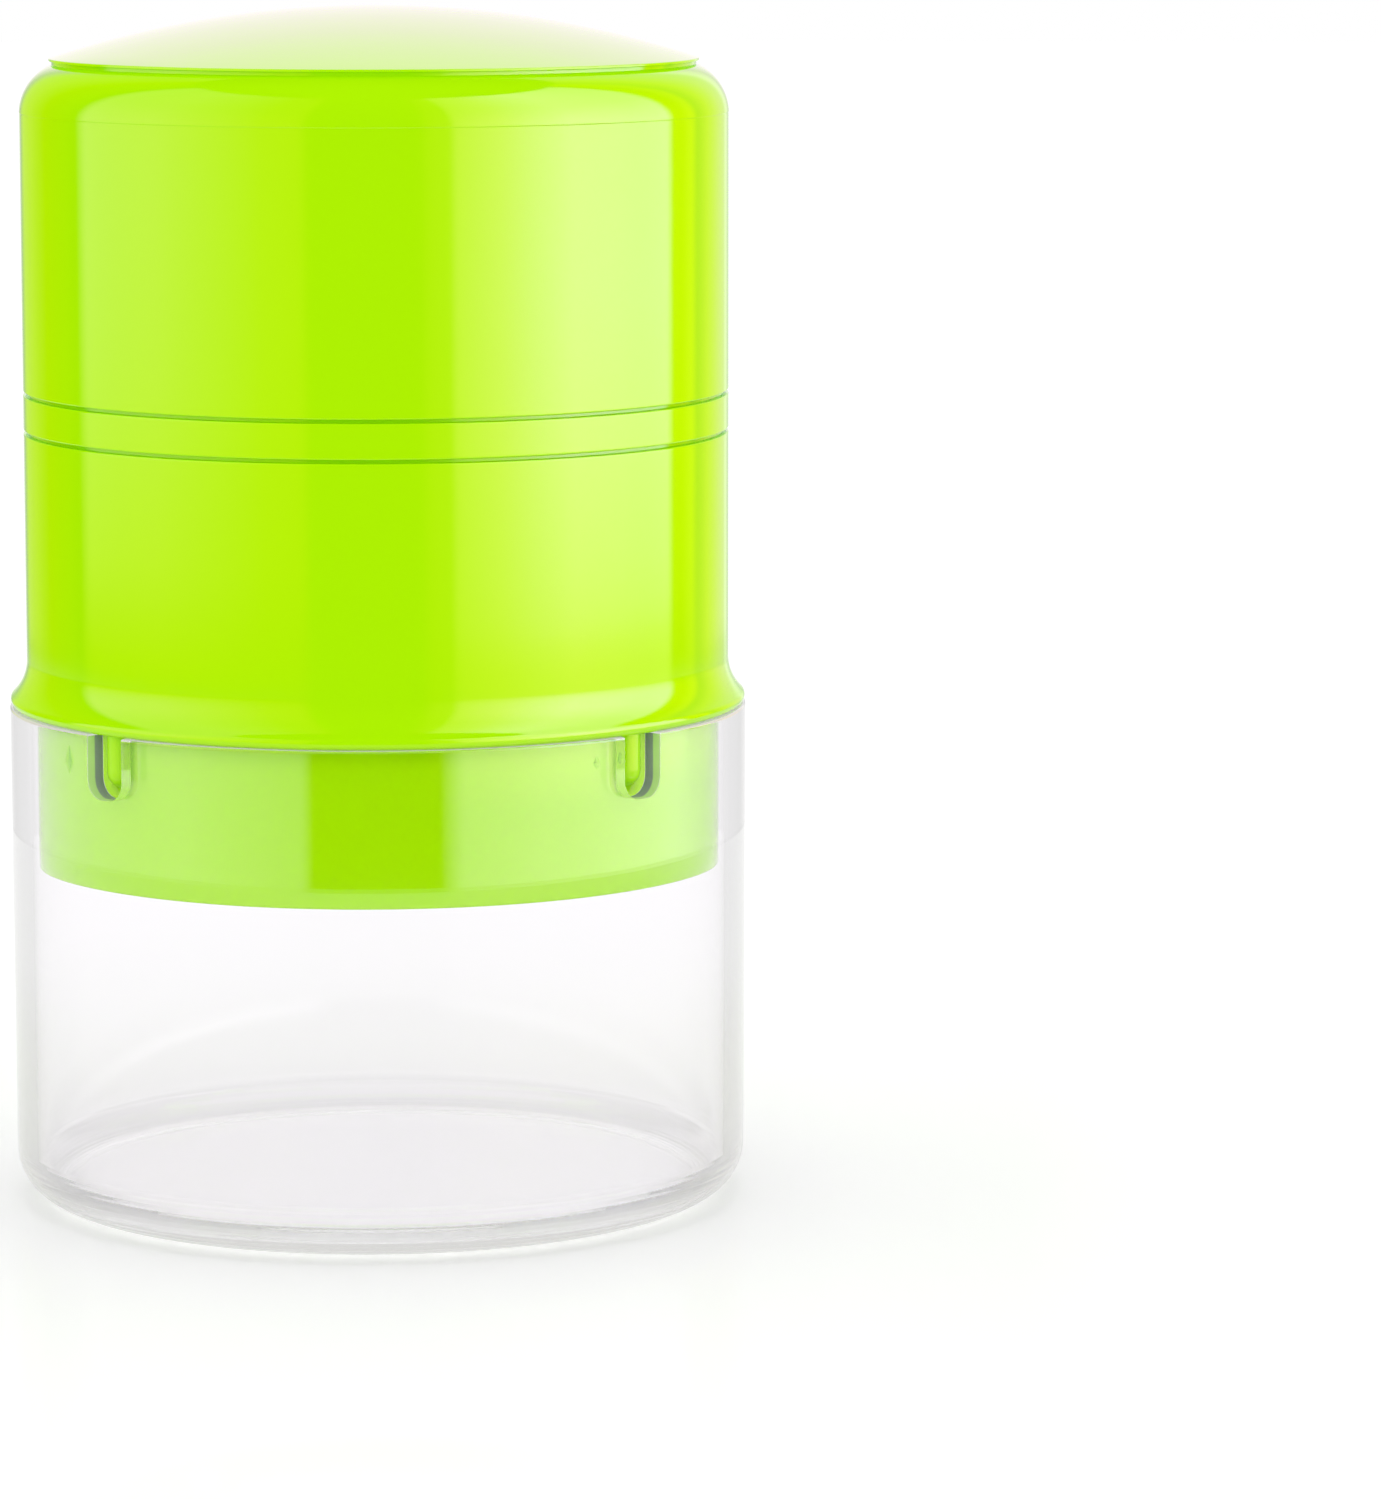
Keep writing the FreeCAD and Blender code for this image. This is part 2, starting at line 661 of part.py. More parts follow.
def hub_nut():
    """Hexagon nut that holds the divider, and with it the drum, down on the housing."""
    body = new_body("hub_nut")
    sketch = new_sketch(body, "nut_sketch", "XY_Plane", lift=NUT_Z)
    outline(sketch, hexagon(cell["nut_width"]))
    ring(sketch, ZERO, ZERO, BUSH_BORE)
    extrude(body, "nut", sketch, cell["nut_height"])
    return body


def hopper_drum():
    """Turning drum: tube in the skirt, visible ring on the housing, neck for the cap."""
    outer = SHELL_RADIUS
    spigot_z = RING_Z - cell["spigot_depth"]
    body = turned("hopper_drum", [
        (DRUM_BORE, DRUM_Z),
        (DRUM_RADIUS, DRUM_Z),
        (DRUM_RADIUS, spigot_z),
        (NECK_RADIUS, spigot_z),
        (NECK_RADIUS, RING_Z),
        (outer, RING_Z),
        (outer, RING_TOP_Z),
        (LAND_RADIUS, RING_TOP_Z),
        (LAND_RADIUS, CAP_Z),
        (NECK_RADIUS, CAP_Z),
        (NECK_RADIUS, NECK_TOP_Z),
        (NECK_BORE, NECK_TOP_Z),
        (NECK_BORE, RING_Z),
        (DRUM_BORE, spigot_z)])
    groove = radial_slab(body, "key_groove", box(GROOVE_RADIUS, CAP_Z, LAND_RADIUS, NECK_TOP_Z + 1),
                         cell["rib_width"] + cell["seat_gap"] * 2, cut=True)
    around(body, "key_grooves", [groove], cell["vane_count"])
    slot_z = DRUM_Z + cell["vane_foot"]
    slot = radial_slab(body, "vane_slot",
                       box(DRUM_BORE - 1, slot_z, TENON_RADIUS + cell["vane_gap"], RING_Z),
                       cell["vane_thickness"] + cell["vane_gap"] * 2, cut=True, turn=VANE_TURN)
    around(body, "vane_slots", [slot], cell["vane_count"])
    return body


def food_divider():
    """Hub with four vanes that make the food chambers, dropped into the drum from above."""
    hub_bore = cell["bush_radius"] + cell["running_gap"]
    body = turned("food_divider", [
        (hub_bore, DRUM_Z), (cell["hub_radius"], DRUM_Z), (cell["hub_radius"], HUB_TOP_Z), (hub_bore, HUB_TOP_Z)])
    inside = (hub_bore + cell["hub_radius"]) / 2
    tenon_z = DRUM_Z + cell["vane_foot"]
    above_nut = cell["washer_radius"] + cell["seat_gap"]
    vane = radial_slab(body, "vane", [
        (inside, DRUM_Z),
        (DRUM_BORE - cell["vane_gap"], DRUM_Z),
        (DRUM_BORE - cell["vane_gap"], tenon_z),
        (TENON_RADIUS, tenon_z),
        (TENON_RADIUS, VANE_TOP_Z),
        (above_nut + cell["boss_wall"], VANE_TOP_Z),
        (above_nut, HUB_TOP_Z),
        (inside, HUB_TOP_Z)], cell["vane_thickness"], turn=VANE_TURN)
    around(body, "vanes", [vane], cell["vane_count"])
    return body


def drum_bush():
    """Brass bush in the divider's hub, running on the centre bolt."""
    return turned("drum_bush", box(BUSH_BORE, PLATE_TOP_Z + cell["seat_gap"], cell["bush_radius"], BUSH_TOP_Z))


def cap_shell():
    """Green cap: side wall, rounded shoulder, dome seat and ceiling, with four ribs that key it to the drum."""
    outer, bend = SHELL_RADIUS, cell["shoulder_bend"]
    seat_bore = SEAT_RADIUS - cell["shell_wall"]
    body = turned("cap_shell", [
        (SHELL_BORE, CAP_Z),
        (outer, CAP_Z),
        (outer, SHOULDER_Z, bend),
        (SEAT_RADIUS, SHOULDER_TOP_Z),
        (SEAT_RADIUS, DOME_Z),
        (seat_bore, DOME_Z),
        (seat_bore, CEILING_TOP_Z),
        (cell["guide_bore"], CEILING_TOP_Z),
        (cell["guide_bore"], CEILING_Z),
        (SHELL_BORE, CEILING_Z)])
    rib = radial_slab(body, "rib", box(RIB_TIP_RADIUS, CAP_Z, SHELL_BORE + cell["slip_gap"], CAP_Z + cell["rib_height"]),
                      cell["rib_width"])
    around(body, "ribs", [rib], cell["vane_count"])
    pitch = cell["guide_screw_pitch"]
    hole = post(body, "guide_hole", pitch, box(pitch, CEILING_Z - 1, pitch + SCREW_PASS_RADIUS, CEILING_TOP_Z + 1), cut=True)
    around(body, "guide_holes", [hole], cell["guide_screw_count"])
    return body


def dome_cover():
    """Shallow dome that snaps into the cap's top, with a thin rim standing proud over the shoulder."""
    rim, rise, skin = DOME_RADIUS, cell["dome_rise"], cell["dome_skin"]
    crown = (rim * rim + rise * rise) / (rise * 2)
    crown_z = DOME_EDGE_Z + rise - crown
    spigot = SEAT_RADIUS - cell["shell_wall"] - cell["seat_gap"]
    bore = spigot - cell["spigot_wall"]
    inner = crown - skin
    spigot_z = CEILING_TOP_Z + cell["seat_gap"]
    return turned("dome_cover", [
        (ZERO, crown_z + inner, -inner),
        (bore, crown_z + arc_rise(inner, bore)),
        (bore, spigot_z),
        (spigot, spigot_z),
        (spigot, DOME_Z),
        (rim, DOME_Z),
        (rim, DOME_EDGE_Z, crown),
        (ZERO, crown_z + crown)])


def spring_guide():
    """Flanged tube under the cap's ceiling that guides the pusher's stem and centres the spring."""
    body = turned("spring_guide", [
        (cell["guide_bore"], CEILING_Z),
        (cell["guide_flange_radius"], CEILING_Z),
        (cell["guide_flange_radius"], GUIDE_SEAT_Z),
        (cell["guide_radius"], GUIDE_SEAT_Z),
        (cell["guide_radius"], COLLAR_Z),
        (ZERO, COLLAR_Z),
        (ZERO, COLLAR_TOP_Z),
        (cell["guide_bore"], COLLAR_TOP_Z)])
    hole = new_sketch(body, "stem_hole_sketch", "XY_Plane", lift=COLLAR_TOP_Z)
    double_flat(hole, cell["running_gap"])
    extrude(body, "stem_hole", hole, cell["collar_thickness"] * 2, cut=True)
    pitch = cell["guide_screw_pitch"]
    boss_z = GUIDE_SEAT_Z - cell["guide_boss_height"]
    boss = post(body, "guide_boss", pitch, box(pitch, boss_z, pitch + BOSS_RADIUS, GUIDE_SEAT_Z))
    pilot_z = CEILING_TOP_Z - cell["screw_length"] - cell["seat_gap"]
    pilot = post(body, "guide_pilot", pitch, box(pitch, pilot_z, pitch + PILOT_RADIUS, CEILING_Z + 1), cut=True)
    around(body, "guide_bosses", [boss, pilot], cell["guide_screw_count"])
    return body


def double_flat(sketch, gap):
    """Round outline with two flats, grown by a gap."""
    radius = cell["stem_radius"] + gap
    flat = cell["stem_flat"] + gap
    across = arc_rise(radius, flat)
    outline(sketch, [
        (across, -flat, radius),
        (across, flat),
        (-across, flat, radius),
        (-across, -flat)])


def pusher_stem():
    """Stem with two flats, necked for its clip and drilled for its screw."""
    body = new_body("pusher_stem")
    section = new_sketch(body, "stem_section", "XY_Plane", lift=STEM_Z)
    double_flat(section, ZERO)
    extrude(body, "stem_bar", section, STEM_TOP_Z - STEM_Z)
    neck = new_sketch(body, "stem_neck_sketch")
    outline(neck, box(cell["stem_neck"], COLLAR_TOP_Z, cell["stem_radius"] * 2, CLIP_TOP_Z))
    revolve(body, "stem_neck", neck, cut=True)
    drill = new_sketch(body, "stem_drill_sketch")
    outline(drill, box(ZERO, STEM_Z - 1, PILOT_RADIUS, DISC_Z + cell["screw_head_height"] + cell["screw_length"]
                       + cell["seat_gap"]))
    revolve(body, "stem_drill", drill, cut=True)
    return body


def stem_clip():
    """Open spring clip in the stem's neck, resting on the guide's collar."""
    body = new_body("stem_clip")
    sketch = new_sketch(body, "clip_sketch", "XY_Plane", lift=COLLAR_TOP_Z)
    inner = cell["stem_neck"] + cell["running_gap"]
    outer = cell["clip_radius"]
    half = cell["clip_mouth"] / 2
    outline(sketch, [
        (arc_rise(inner, half), half, inner),
        (-inner, ZERO, inner),
        (arc_rise(inner, half), -half),
        (arc_rise(outer, half), -half, -outer),
        (-outer, ZERO, -outer),
        (arc_rise(outer, half), half)])
    extrude(body, "clip", sketch, cell["clip_thickness"])
    return body


def chamber_sector(inner, outer, side):
    """Corners of one chamber's quarter, kept clear of the vanes beside it."""
    return [
        (arc_rise(inner, side), side),
        (arc_rise(outer, side), side, outer),
        (side, arc_rise(outer, side)),
        (side, arc_rise(inner, side), -inner)]


def pusher_plate():
    """Disc with four hollow feet that reach down between the vanes."""
    body = turned("pusher_plate", [
        (ZERO, DISC_Z),
        (FOOT_RADIUS, DISC_Z),
        (FOOT_RADIUS, DISC_TOP_Z),
        (cell["guide_radius"], DISC_TOP_Z),
        (cell["guide_radius"], DISC_TOP_Z + cell["disc_boss"]),
        (ZERO, DISC_TOP_Z + cell["disc_boss"])])
    side = cell["vane_thickness"] / 2 + cell["pusher_gap"]
    turn = VANE_TURN
    foot_sketch = new_sketch(body, "foot_sketch", "XY_Plane", lift=FOOT_Z, turn=turn)
    outline(foot_sketch, chamber_sector(cell["foot_inner"], FOOT_RADIUS, side))
    foot = extrude(body, "foot", foot_sketch, DISC_Z - FOOT_Z)
    wall = cell["foot_wall"]
    hollow_sketch = new_sketch(body, "hollow_sketch", "XY_Plane", lift=DISC_TOP_Z, turn=turn)
    hollow_inner = cell["coil_radius"] + cell["wire_radius"] * 2 + wall
    outline(hollow_sketch, chamber_sector(hollow_inner, FOOT_RADIUS - wall, side + wall))
    hollow = extrude(body, "hollow", hollow_sketch, DISC_TOP_Z - FOOT_Z - wall, cut=True)
    around(body, "feet", [foot, hollow], cell["vane_count"])
    grips = new_sketch(body, "grip_sketch")
    for number in range(GRIP_COUNT):
        left = cell["grip_start"] + cell["grip_pitch"] * number
        outline(grips, box(left, FOOT_Z - 1, left + cell["grip_width"], FOOT_Z + cell["grip_depth"]))
    revolve(body, "grips", grips, cut=True)
    socket = new_sketch(body, "stem_socket_sketch", "XY_Plane", lift=DISC_TOP_Z + cell["disc_boss"])
    double_flat(socket, cell["running_gap"])
    extrude(body, "stem_socket", socket, cell["socket_depth"], cut=True)
    screw = new_sketch(body, "screw_hole_sketch")
    head = cell["screw_head_radius"] + cell["seat_gap"]
    head_z = DISC_Z + cell["screw_head_height"]
    outline(screw, [
        (ZERO, DISC_Z - 1), (head, DISC_Z - 1), (head, head_z), (SCREW_PASS_RADIUS, head_z),
        (SCREW_PASS_RADIUS, DISC_TOP_Z), (ZERO, DISC_TOP_Z)])
    revolve(body, "screw_hole", screw, cut=True)
    return body


def stem_screw():
    """Screw from below that fixes the pusher to its stem."""
    head_z = DISC_Z + cell["screw_head_height"]
    head, shank = cell["screw_head_radius"], cell["screw_radius"]
    body = turned("stem_screw", [
        (ZERO, DISC_Z), (head, DISC_Z), (head, head_z), (shank, head_z),
        (shank, head_z + cell["screw_length"]), (ZERO, head_z + cell["screw_length"])])
    slot = new_sketch(body, "stem_screw_slot", "XY_Plane", lift=DISC_Z)
    half = cell["recess_width"] / 2
    outline(slot, box(-head * 2, -half, head * 2, half))
    extrude(body, "slot", slot, cell["recess_depth"], cut=True, reverse=True)
    return body


def coil_height(turn, turns, low, high, end_pitch):
    """Height of the wire's centre after some turns: closed end turns, open turns between, eased over half a turn."""
    ease = 0.5
    open_turns = turns - 2 - ease
    open_pitch = (high - low - (2 + ease) * end_pitch) / open_turns
    slope = (open_pitch - end_pitch) / ease
    if turn > turns / 2:
        return high + low - coil_height(turns - turn, turns, low, high, end_pitch)
    if turn <= 1:
        return low + end_pitch * turn
    if turn <= 1 + ease:
        return low + end_pitch * turn + slope * (turn - 1) ** 2 / 2
    return low + end_pitch * (1 + ease) + slope * ease ** 2 / 2 + open_pitch * (turn - 1 - ease)


def coil_point(turn, radius, height):
    """Point on the coil's centre line."""
    angle = turn * 2 * math.pi
    return FreeCAD.Vector(radius * math.cos(angle), radius * math.sin(angle), height)


def two_arcs(start, start_way, end, end_way):
    """Two arcs that leave start along one direction and reach end along another."""
    chord = end - start
    ways = start_way + end_way
    spread = 2 * (1 - start_way.dot(end_way))
    along = chord.dot(ways)
    reach = (math.sqrt(along ** 2 + spread * chord.dot(chord)) - along) / spread
    first_knee = start + start_way * reach
    last_knee = end - end_way * reach
    join = (first_knee + last_knee) / 2
    return [knee_arc(start, first_knee, join), knee_arc(join, last_knee, end)]


def knee_arc(start, knee, end):
    """Arc tangent to the two lines that meet at the knee."""
    middle = (start + end) / 2
    turn = (knee - start).getAngle(end - start)
    crown = middle + (knee - middle) * (math.tan(turn / 2) / math.tan(turn))
    return Part.Arc(start, crown, end).toShape()


def pusher_spring():
    """Wound compression spring between the pusher's disc and the guide's flange, as one unbroken wire."""
    wire, radius = cell["wire_radius"].value, cell["coil_radius"].value
    turns, end_pitch = int(cell["coil_turns"].value), cell["end_pitch"].value
    low = DISC_TOP_Z.value + wire + cell["running_gap"].value
    high = GUIDE_SEAT_Z.value - wire - cell["running_gap"].value
    steps = turns * 4
    turn_marks = [step / 4 for step in range(steps + 1)]
    heights = [coil_height(mark, turns, low, high, end_pitch) for mark in turn_marks]
    points = [coil_point(mark, radius, height) for mark, height in zip(turn_marks, heights)]
    ways = [coil_way(mark, radius, turns, low, high, end_pitch) for mark in turn_marks]
    edges = []
    for index in range(steps):
        edges += two_arcs(points[index], ways[index], points[index + 1], ways[index + 1])
    lead_in = points[0] - ways[0] * wire * 2
    lead_out = points[-1] + ways[-1] * wire * 2
    edges.insert(0, Part.LineSegment(lead_in, points[0]).toShape())
    edges.append(Part.LineSegment(points[-1], lead_out).toShape())
    path = Part.Wire(edges)
    section = Part.Wire(Part.Circle(lead_in, ways[0], wire).toShape())
    shape = path.makePipeShell([section], True, False)
    samples = [coil_point(mark / 24, radius, coil_height(mark / 24, turns, low, high, end_pitch))
               for mark in range(turns * 24 + 1)]
    apart = min(first.distanceToPoint(last) for index, first in enumerate(samples)
                for last in samples[index + 12:])
    length = path.Length
    print(f"pusher spring: least gap to itself {apart - wire * 2:.2f} mm,"
          f" volume against section times length {shape.Volume / (math.pi * wire ** 2 * length):.4f}")
    piece = doc.addObject("Part::Feature", "pusher_spring")
    piece.Label = "pusher_spring"
    piece.Shape = shape
    return piece


def coil_way(turn, radius, turns, low, high, end_pitch):
    """Unit direction of the wire after some turns."""
    step = 1e-4
    before = coil_height(max(turn - step, 0), turns, low, high, end_pitch)
    after = coil_height(min(turn + step, turns), turns, low, high, end_pitch)
    span = min(turn + step, turns) - max(turn - step, 0)
    angle = turn * 2 * math.pi
    way = FreeCAD.Vector(-math.sin(angle), math.cos(angle), (after - before) / span / (2 * math.pi * radius))
    return way.normalize()


# Vanes and keyed ribs stand between the windows at rest. Grip grooves are cut in circles under the feet.
VANE_TURN = cell["lug_angle"]
GRIP_COUNT = 4
BLADE_SCREWS = [
    ("inner", cell["blade_start"] + cell["blade_screw_inset"]),
    ("outer", cell["blade_start"] + BLADE_LENGTH - cell["blade_screw_inset"]),
]

pieces = [
    clear_cup(),
    blade_housing(),
    blade_plate(),
    slicing_blade("slicing_blade_right", 0),
    slicing_blade("slicing_blade_left", 180),
    blade_screws(),
    screws("plate_screws", LUG_PITCH, LEDGE_Z, 1, cell["lug_count"], cell["lug_angle"]),
    centre_bolt(),
    hub_washer(),
    hub_nut(),
    hopper_drum(),
    food_divider(),
    drum_bush(),
    cap_shell(),
    dome_cover(),
    spring_guide(),
    screws("guide_screws", cell["guide_screw_pitch"], CEILING_TOP_Z, -1, cell["guide_screw_count"]),
    pusher_stem(),
    stem_clip(),
    pusher_plate(),
    stem_screw(),
    pusher_spring(),
]
doc.recompute()

faults = [item.Label for item in doc.Objects if {"Invalid", "Error"} & set(item.State)]
faults += [piece.Label for piece in pieces if piece.Shape.isNull() or not piece.Shape.isValid()]
if faults:
    raise RuntimeError("these objects failed: " + ", ".join(faults))

room = (COLLAR_Z - DISC_TOP_Z - cell["disc_boss"]).value
print(f"room for the pusher under the guide {room:.2f} mm, for a press of {PRESS_TRAVEL:.0f} mm")
os.makedirs("parts", exist_ok=True)
for piece in pieces:
    piece.Shape.exportStep(f"parts/{piece.Label}.step")
    print(f"{piece.Label}: {len(piece.Shape.Solids)} solid(s), {piece.Shape.Volume:.1f} mm3")
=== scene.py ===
"""Looks for the twist-and-press food chopper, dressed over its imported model.

A clear cup stands below, a lime green blade housing stands on its rim, a narrow drum ring shows between two
seams, and a tall cap with a shallow dome closes the top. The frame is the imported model's, in metres, and its
front is at -Y. Sizes of pieces are in millimetres.
"""

import logging
import math
from dataclasses import dataclass, field
from enum import Enum
from typing import Any, Callable

import bpy
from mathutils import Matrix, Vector


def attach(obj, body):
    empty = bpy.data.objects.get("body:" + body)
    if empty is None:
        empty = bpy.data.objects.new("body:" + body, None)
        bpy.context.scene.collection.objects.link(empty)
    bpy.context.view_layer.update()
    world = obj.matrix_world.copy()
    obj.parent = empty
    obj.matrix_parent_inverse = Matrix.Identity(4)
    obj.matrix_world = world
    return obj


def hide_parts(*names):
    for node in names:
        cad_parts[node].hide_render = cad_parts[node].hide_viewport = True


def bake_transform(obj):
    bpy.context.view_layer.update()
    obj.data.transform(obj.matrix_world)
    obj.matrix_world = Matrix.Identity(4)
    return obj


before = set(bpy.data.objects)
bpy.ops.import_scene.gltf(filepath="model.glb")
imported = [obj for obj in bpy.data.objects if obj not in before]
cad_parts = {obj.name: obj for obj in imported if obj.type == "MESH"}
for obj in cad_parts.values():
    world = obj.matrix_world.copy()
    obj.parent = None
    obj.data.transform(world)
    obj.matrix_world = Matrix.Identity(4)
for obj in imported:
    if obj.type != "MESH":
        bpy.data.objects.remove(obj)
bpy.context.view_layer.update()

MM = 0.001
WELD = 1e-6
LOG = logging.getLogger("chopper")

Point = tuple[float, float]
Colour = tuple[float, float, float]
Stop = tuple[float, float | Colour]
Inputs = dict[str | int, Any]
Mesh = bpy.types.Mesh
Node = bpy.types.Node
Socket = bpy.types.NodeSocket
WHITE = (1.0, 1.0, 1.0)


class Body(Enum):
    """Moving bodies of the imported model."""

    CUP = "cup"
    HOUSING = "housing"
    DRUM = "drum"
    CAP = "cap"
    PUSHER = "pusher"


class Slot(Enum):
    """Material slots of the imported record."""

    CLEAR = "clear_plastic"
    GREEN = "green_plastic"
    WHITE = "white_plastic"
    BLADE = "blade_steel"
    PLATED = "plated_steel"
    WIRE = "spring_steel"
    BRASS = "bush_brass"


class Grain(Enum):
    """Which way a worked metal's fine lines run."""

    ALONG_X = (30.0, 1400.0, 1400.0)
    ROUND_AXIS = (500.0, 500.0, 2600.0)


class Tree:
    """Short calls that build one node tree, for a material or for geometry."""

    def __init__(self, tree: bpy.types.NodeTree) -> None:
        """Start on an empty or cleared tree."""
        self.tree = tree

    def link(self, source: Any, socket: Socket) -> None:
        """Link a socket, or the first output of a node, to an input."""
        self.tree.links.new(source.outputs[0] if isinstance(source, Node) else source, socket)

    def node(self, kind: str, inputs: Inputs | None = None, **settings: Any) -> Node:
        """Add a node.

        Args:
            kind: Blender's type name of the node.
            inputs: Sockets by name or place, each a value, a colour, or a node or socket to link from.
            settings: Properties set before the sockets.

        Returns:
            The new node.
        """
        made = self.tree.nodes.new(kind)
        for name, value in settings.items():
            setattr(made, name, value)
        for name, value in (inputs or {}).items():
            socket = made.inputs[name]
            if isinstance(value, (Node, Socket)):
                self.link(value, socket)
            else:
                socket.default_value = (*value, 1.0) if socket.type == "RGBA" else value
        return made

    def sum(self, kind: str, first: Any, second: Any = 0.0, third: Any = 0.0) -> Socket:
        """Result of one Math node of the given operation."""
        return self.node("ShaderNodeMath", {0: first, 1: second, 2: third}, operation=kind).outputs[0]

    def times(self, first: Any, second: Any) -> Socket:
        """Product of two values."""
        return self.sum("MULTIPLY", first, second)

    def step(self, value: Any, start: float, end: float) -> Socket:
        """Soft step from 0 at start to 1 at end, or the other way round where end is lower."""
        low, high, first, last = (start, end, 0.0, 1.0) if start < end else (end, start, 1.0, 0.0)
        return self.node("ShaderNodeMapRange", {
            "Value": value, "From Min": low, "From Max": high, "To Min": first, "To Max": last,
        }, interpolation_type="SMOOTHSTEP").outputs[0]

    def inside(self, value: Any, limits: Point) -> Socket:
        """Mask that is 1 where a value lies between two limits."""
        return self.times(self.sum("GREATER_THAN", value, limits[0]), self.sum("LESS_THAN", value, limits[1]))

    def join(self, kind: str, first: Any, second: Any) -> Socket:
        """Result of one Vector Math node of the given operation."""
        return self.node("ShaderNodeVectorMath", {0: first, 1: second}, operation=kind).outputs[0]

    def ray(self, fact: str) -> Socket:
        """What the light path says of the ray."""
        return self.node("ShaderNodeLightPath").outputs[fact]

    def fewer(self, depth: str, count: int) -> Socket:
        """Mask of rays that have had fewer bounces of a kind than a count."""
        return self.sum("LESS_THAN", self.ray(depth), count - 0.5)

    def ramp(self, value: Socket, stops: tuple[Stop, ...]) -> Socket:
        """Light that follows a value through stops, each a place on its scale and a level or colour."""
        low, high = stops[0][0], stops[-1][0]
        share = self.node("ShaderNodeMapRange", {"Value": value, "From Min": low, "From Max": high})
        made = self.node("ShaderNodeValToRGB", {0: share})
        marks = made.color_ramp.elements
        marks.remove(marks[1])
        for index, (place, light) in enumerate(stops):
            spot = (place - low) / (high - low)
            mark = marks.new(spot) if index else marks[0]
            mark.position = spot
            mark.color = (*(light if isinstance(light, tuple) else (light,) * 3), 1.0)
        return made.outputs[0]


def clear_tree(owner: bpy.types.Material | bpy.types.World) -> Tree:
    """Turn the nodes of a material or world on and empty them."""
    owner.use_nodes = True
    owner.node_tree.nodes.clear()
    return Tree(owner.node_tree)


def material(name: str, surface: Callable[[Tree], Node]) -> bpy.types.Material:
    """New material whose shader is built by a function on its empty tree."""
    made = bpy.data.materials.new(name)
    tree = clear_tree(made)
    tree.node("ShaderNodeOutputMaterial", {"Surface": surface(tree)})
    return made


def object_place(tree: Tree) -> Socket:
    """Object coordinates."""
    return tree.node("ShaderNodeTexCoord").outputs["Object"]


def noise(tree: Tree, scale: float, detail: float = 2.0,
          stretch: tuple[float, float, float] = (1.0, 1.0, 1.0)) -> Socket:
    """Smooth noise between 0 and 1 over the object's coordinates, which are stretched along each axis."""
    place = tree.node("ShaderNodeMapping", {"Vector": object_place(tree), "Scale": stretch})
    return tree.node("ShaderNodeTexNoise", {"Vector": place, "Scale": scale, "Detail": detail}).outputs[0]


def between(tree: Tree, share: Socket, low: float, high: float) -> Socket:
    """Spread a share from 0 to 1 between two values."""
    return tree.node("ShaderNodeMapRange", {"Value": share, "To Min": low, "To Max": high}).outputs[0]


def shade(tree: Tree, share: Socket, dark: Colour, light: Colour) -> Socket:
    """Blend two colours by a share."""
    mix = tree.node("ShaderNodeMix", {"Factor": share, "A": dark, "B": light}, data_type="RGBA")
    return mix.outputs["Result"]


def bumped(tree: Tree, height: Socket, depth: float) -> Socket:
    """Normal bent by a height field of a real depth in metres."""
    return tree.node("ShaderNodeBump", {"Height": height, "Distance": depth, "Strength": 1.0}).outputs[0]


@dataclass(frozen=True)
class Finish:
    """Looks of a material slot."""

    name: str

    def surface(self, tree: Tree) -> Node:
        """Build the shader."""
        raise NotImplementedError


@dataclass(frozen=True)
class MouldedPlastic(Finish):
    """Opaque moulded plastic: even colour with a trace of flow, glossy or satin, with a faint ripple."""

    colour: Colour
    deeper: Colour
    roughness: float
    spread: float
    ripple: float
    gloss: Colour = WHITE
    index: float = 1.5
    flow_scale: float = 18.0
    fine_scale: float = 900.0
    ripple_scale: float = 350.0

    def surface(self, tree: Tree) -> Node:
        """Build the shader."""
        fine = noise(tree, self.fine_scale)
        return tree.node("ShaderNodeBsdfPrincipled", {
            "Base Color": shade(tree, noise(tree, self.flow_scale, 1.0), self.deeper, self.colour),
            "Roughness": between(tree, fine, self.roughness, self.roughness + self.spread),
            "IOR": self.index,
            "Specular Tint": self.gloss,
            "Normal": bumped(tree, noise(tree, self.ripple_scale, 1.0), self.ripple)})


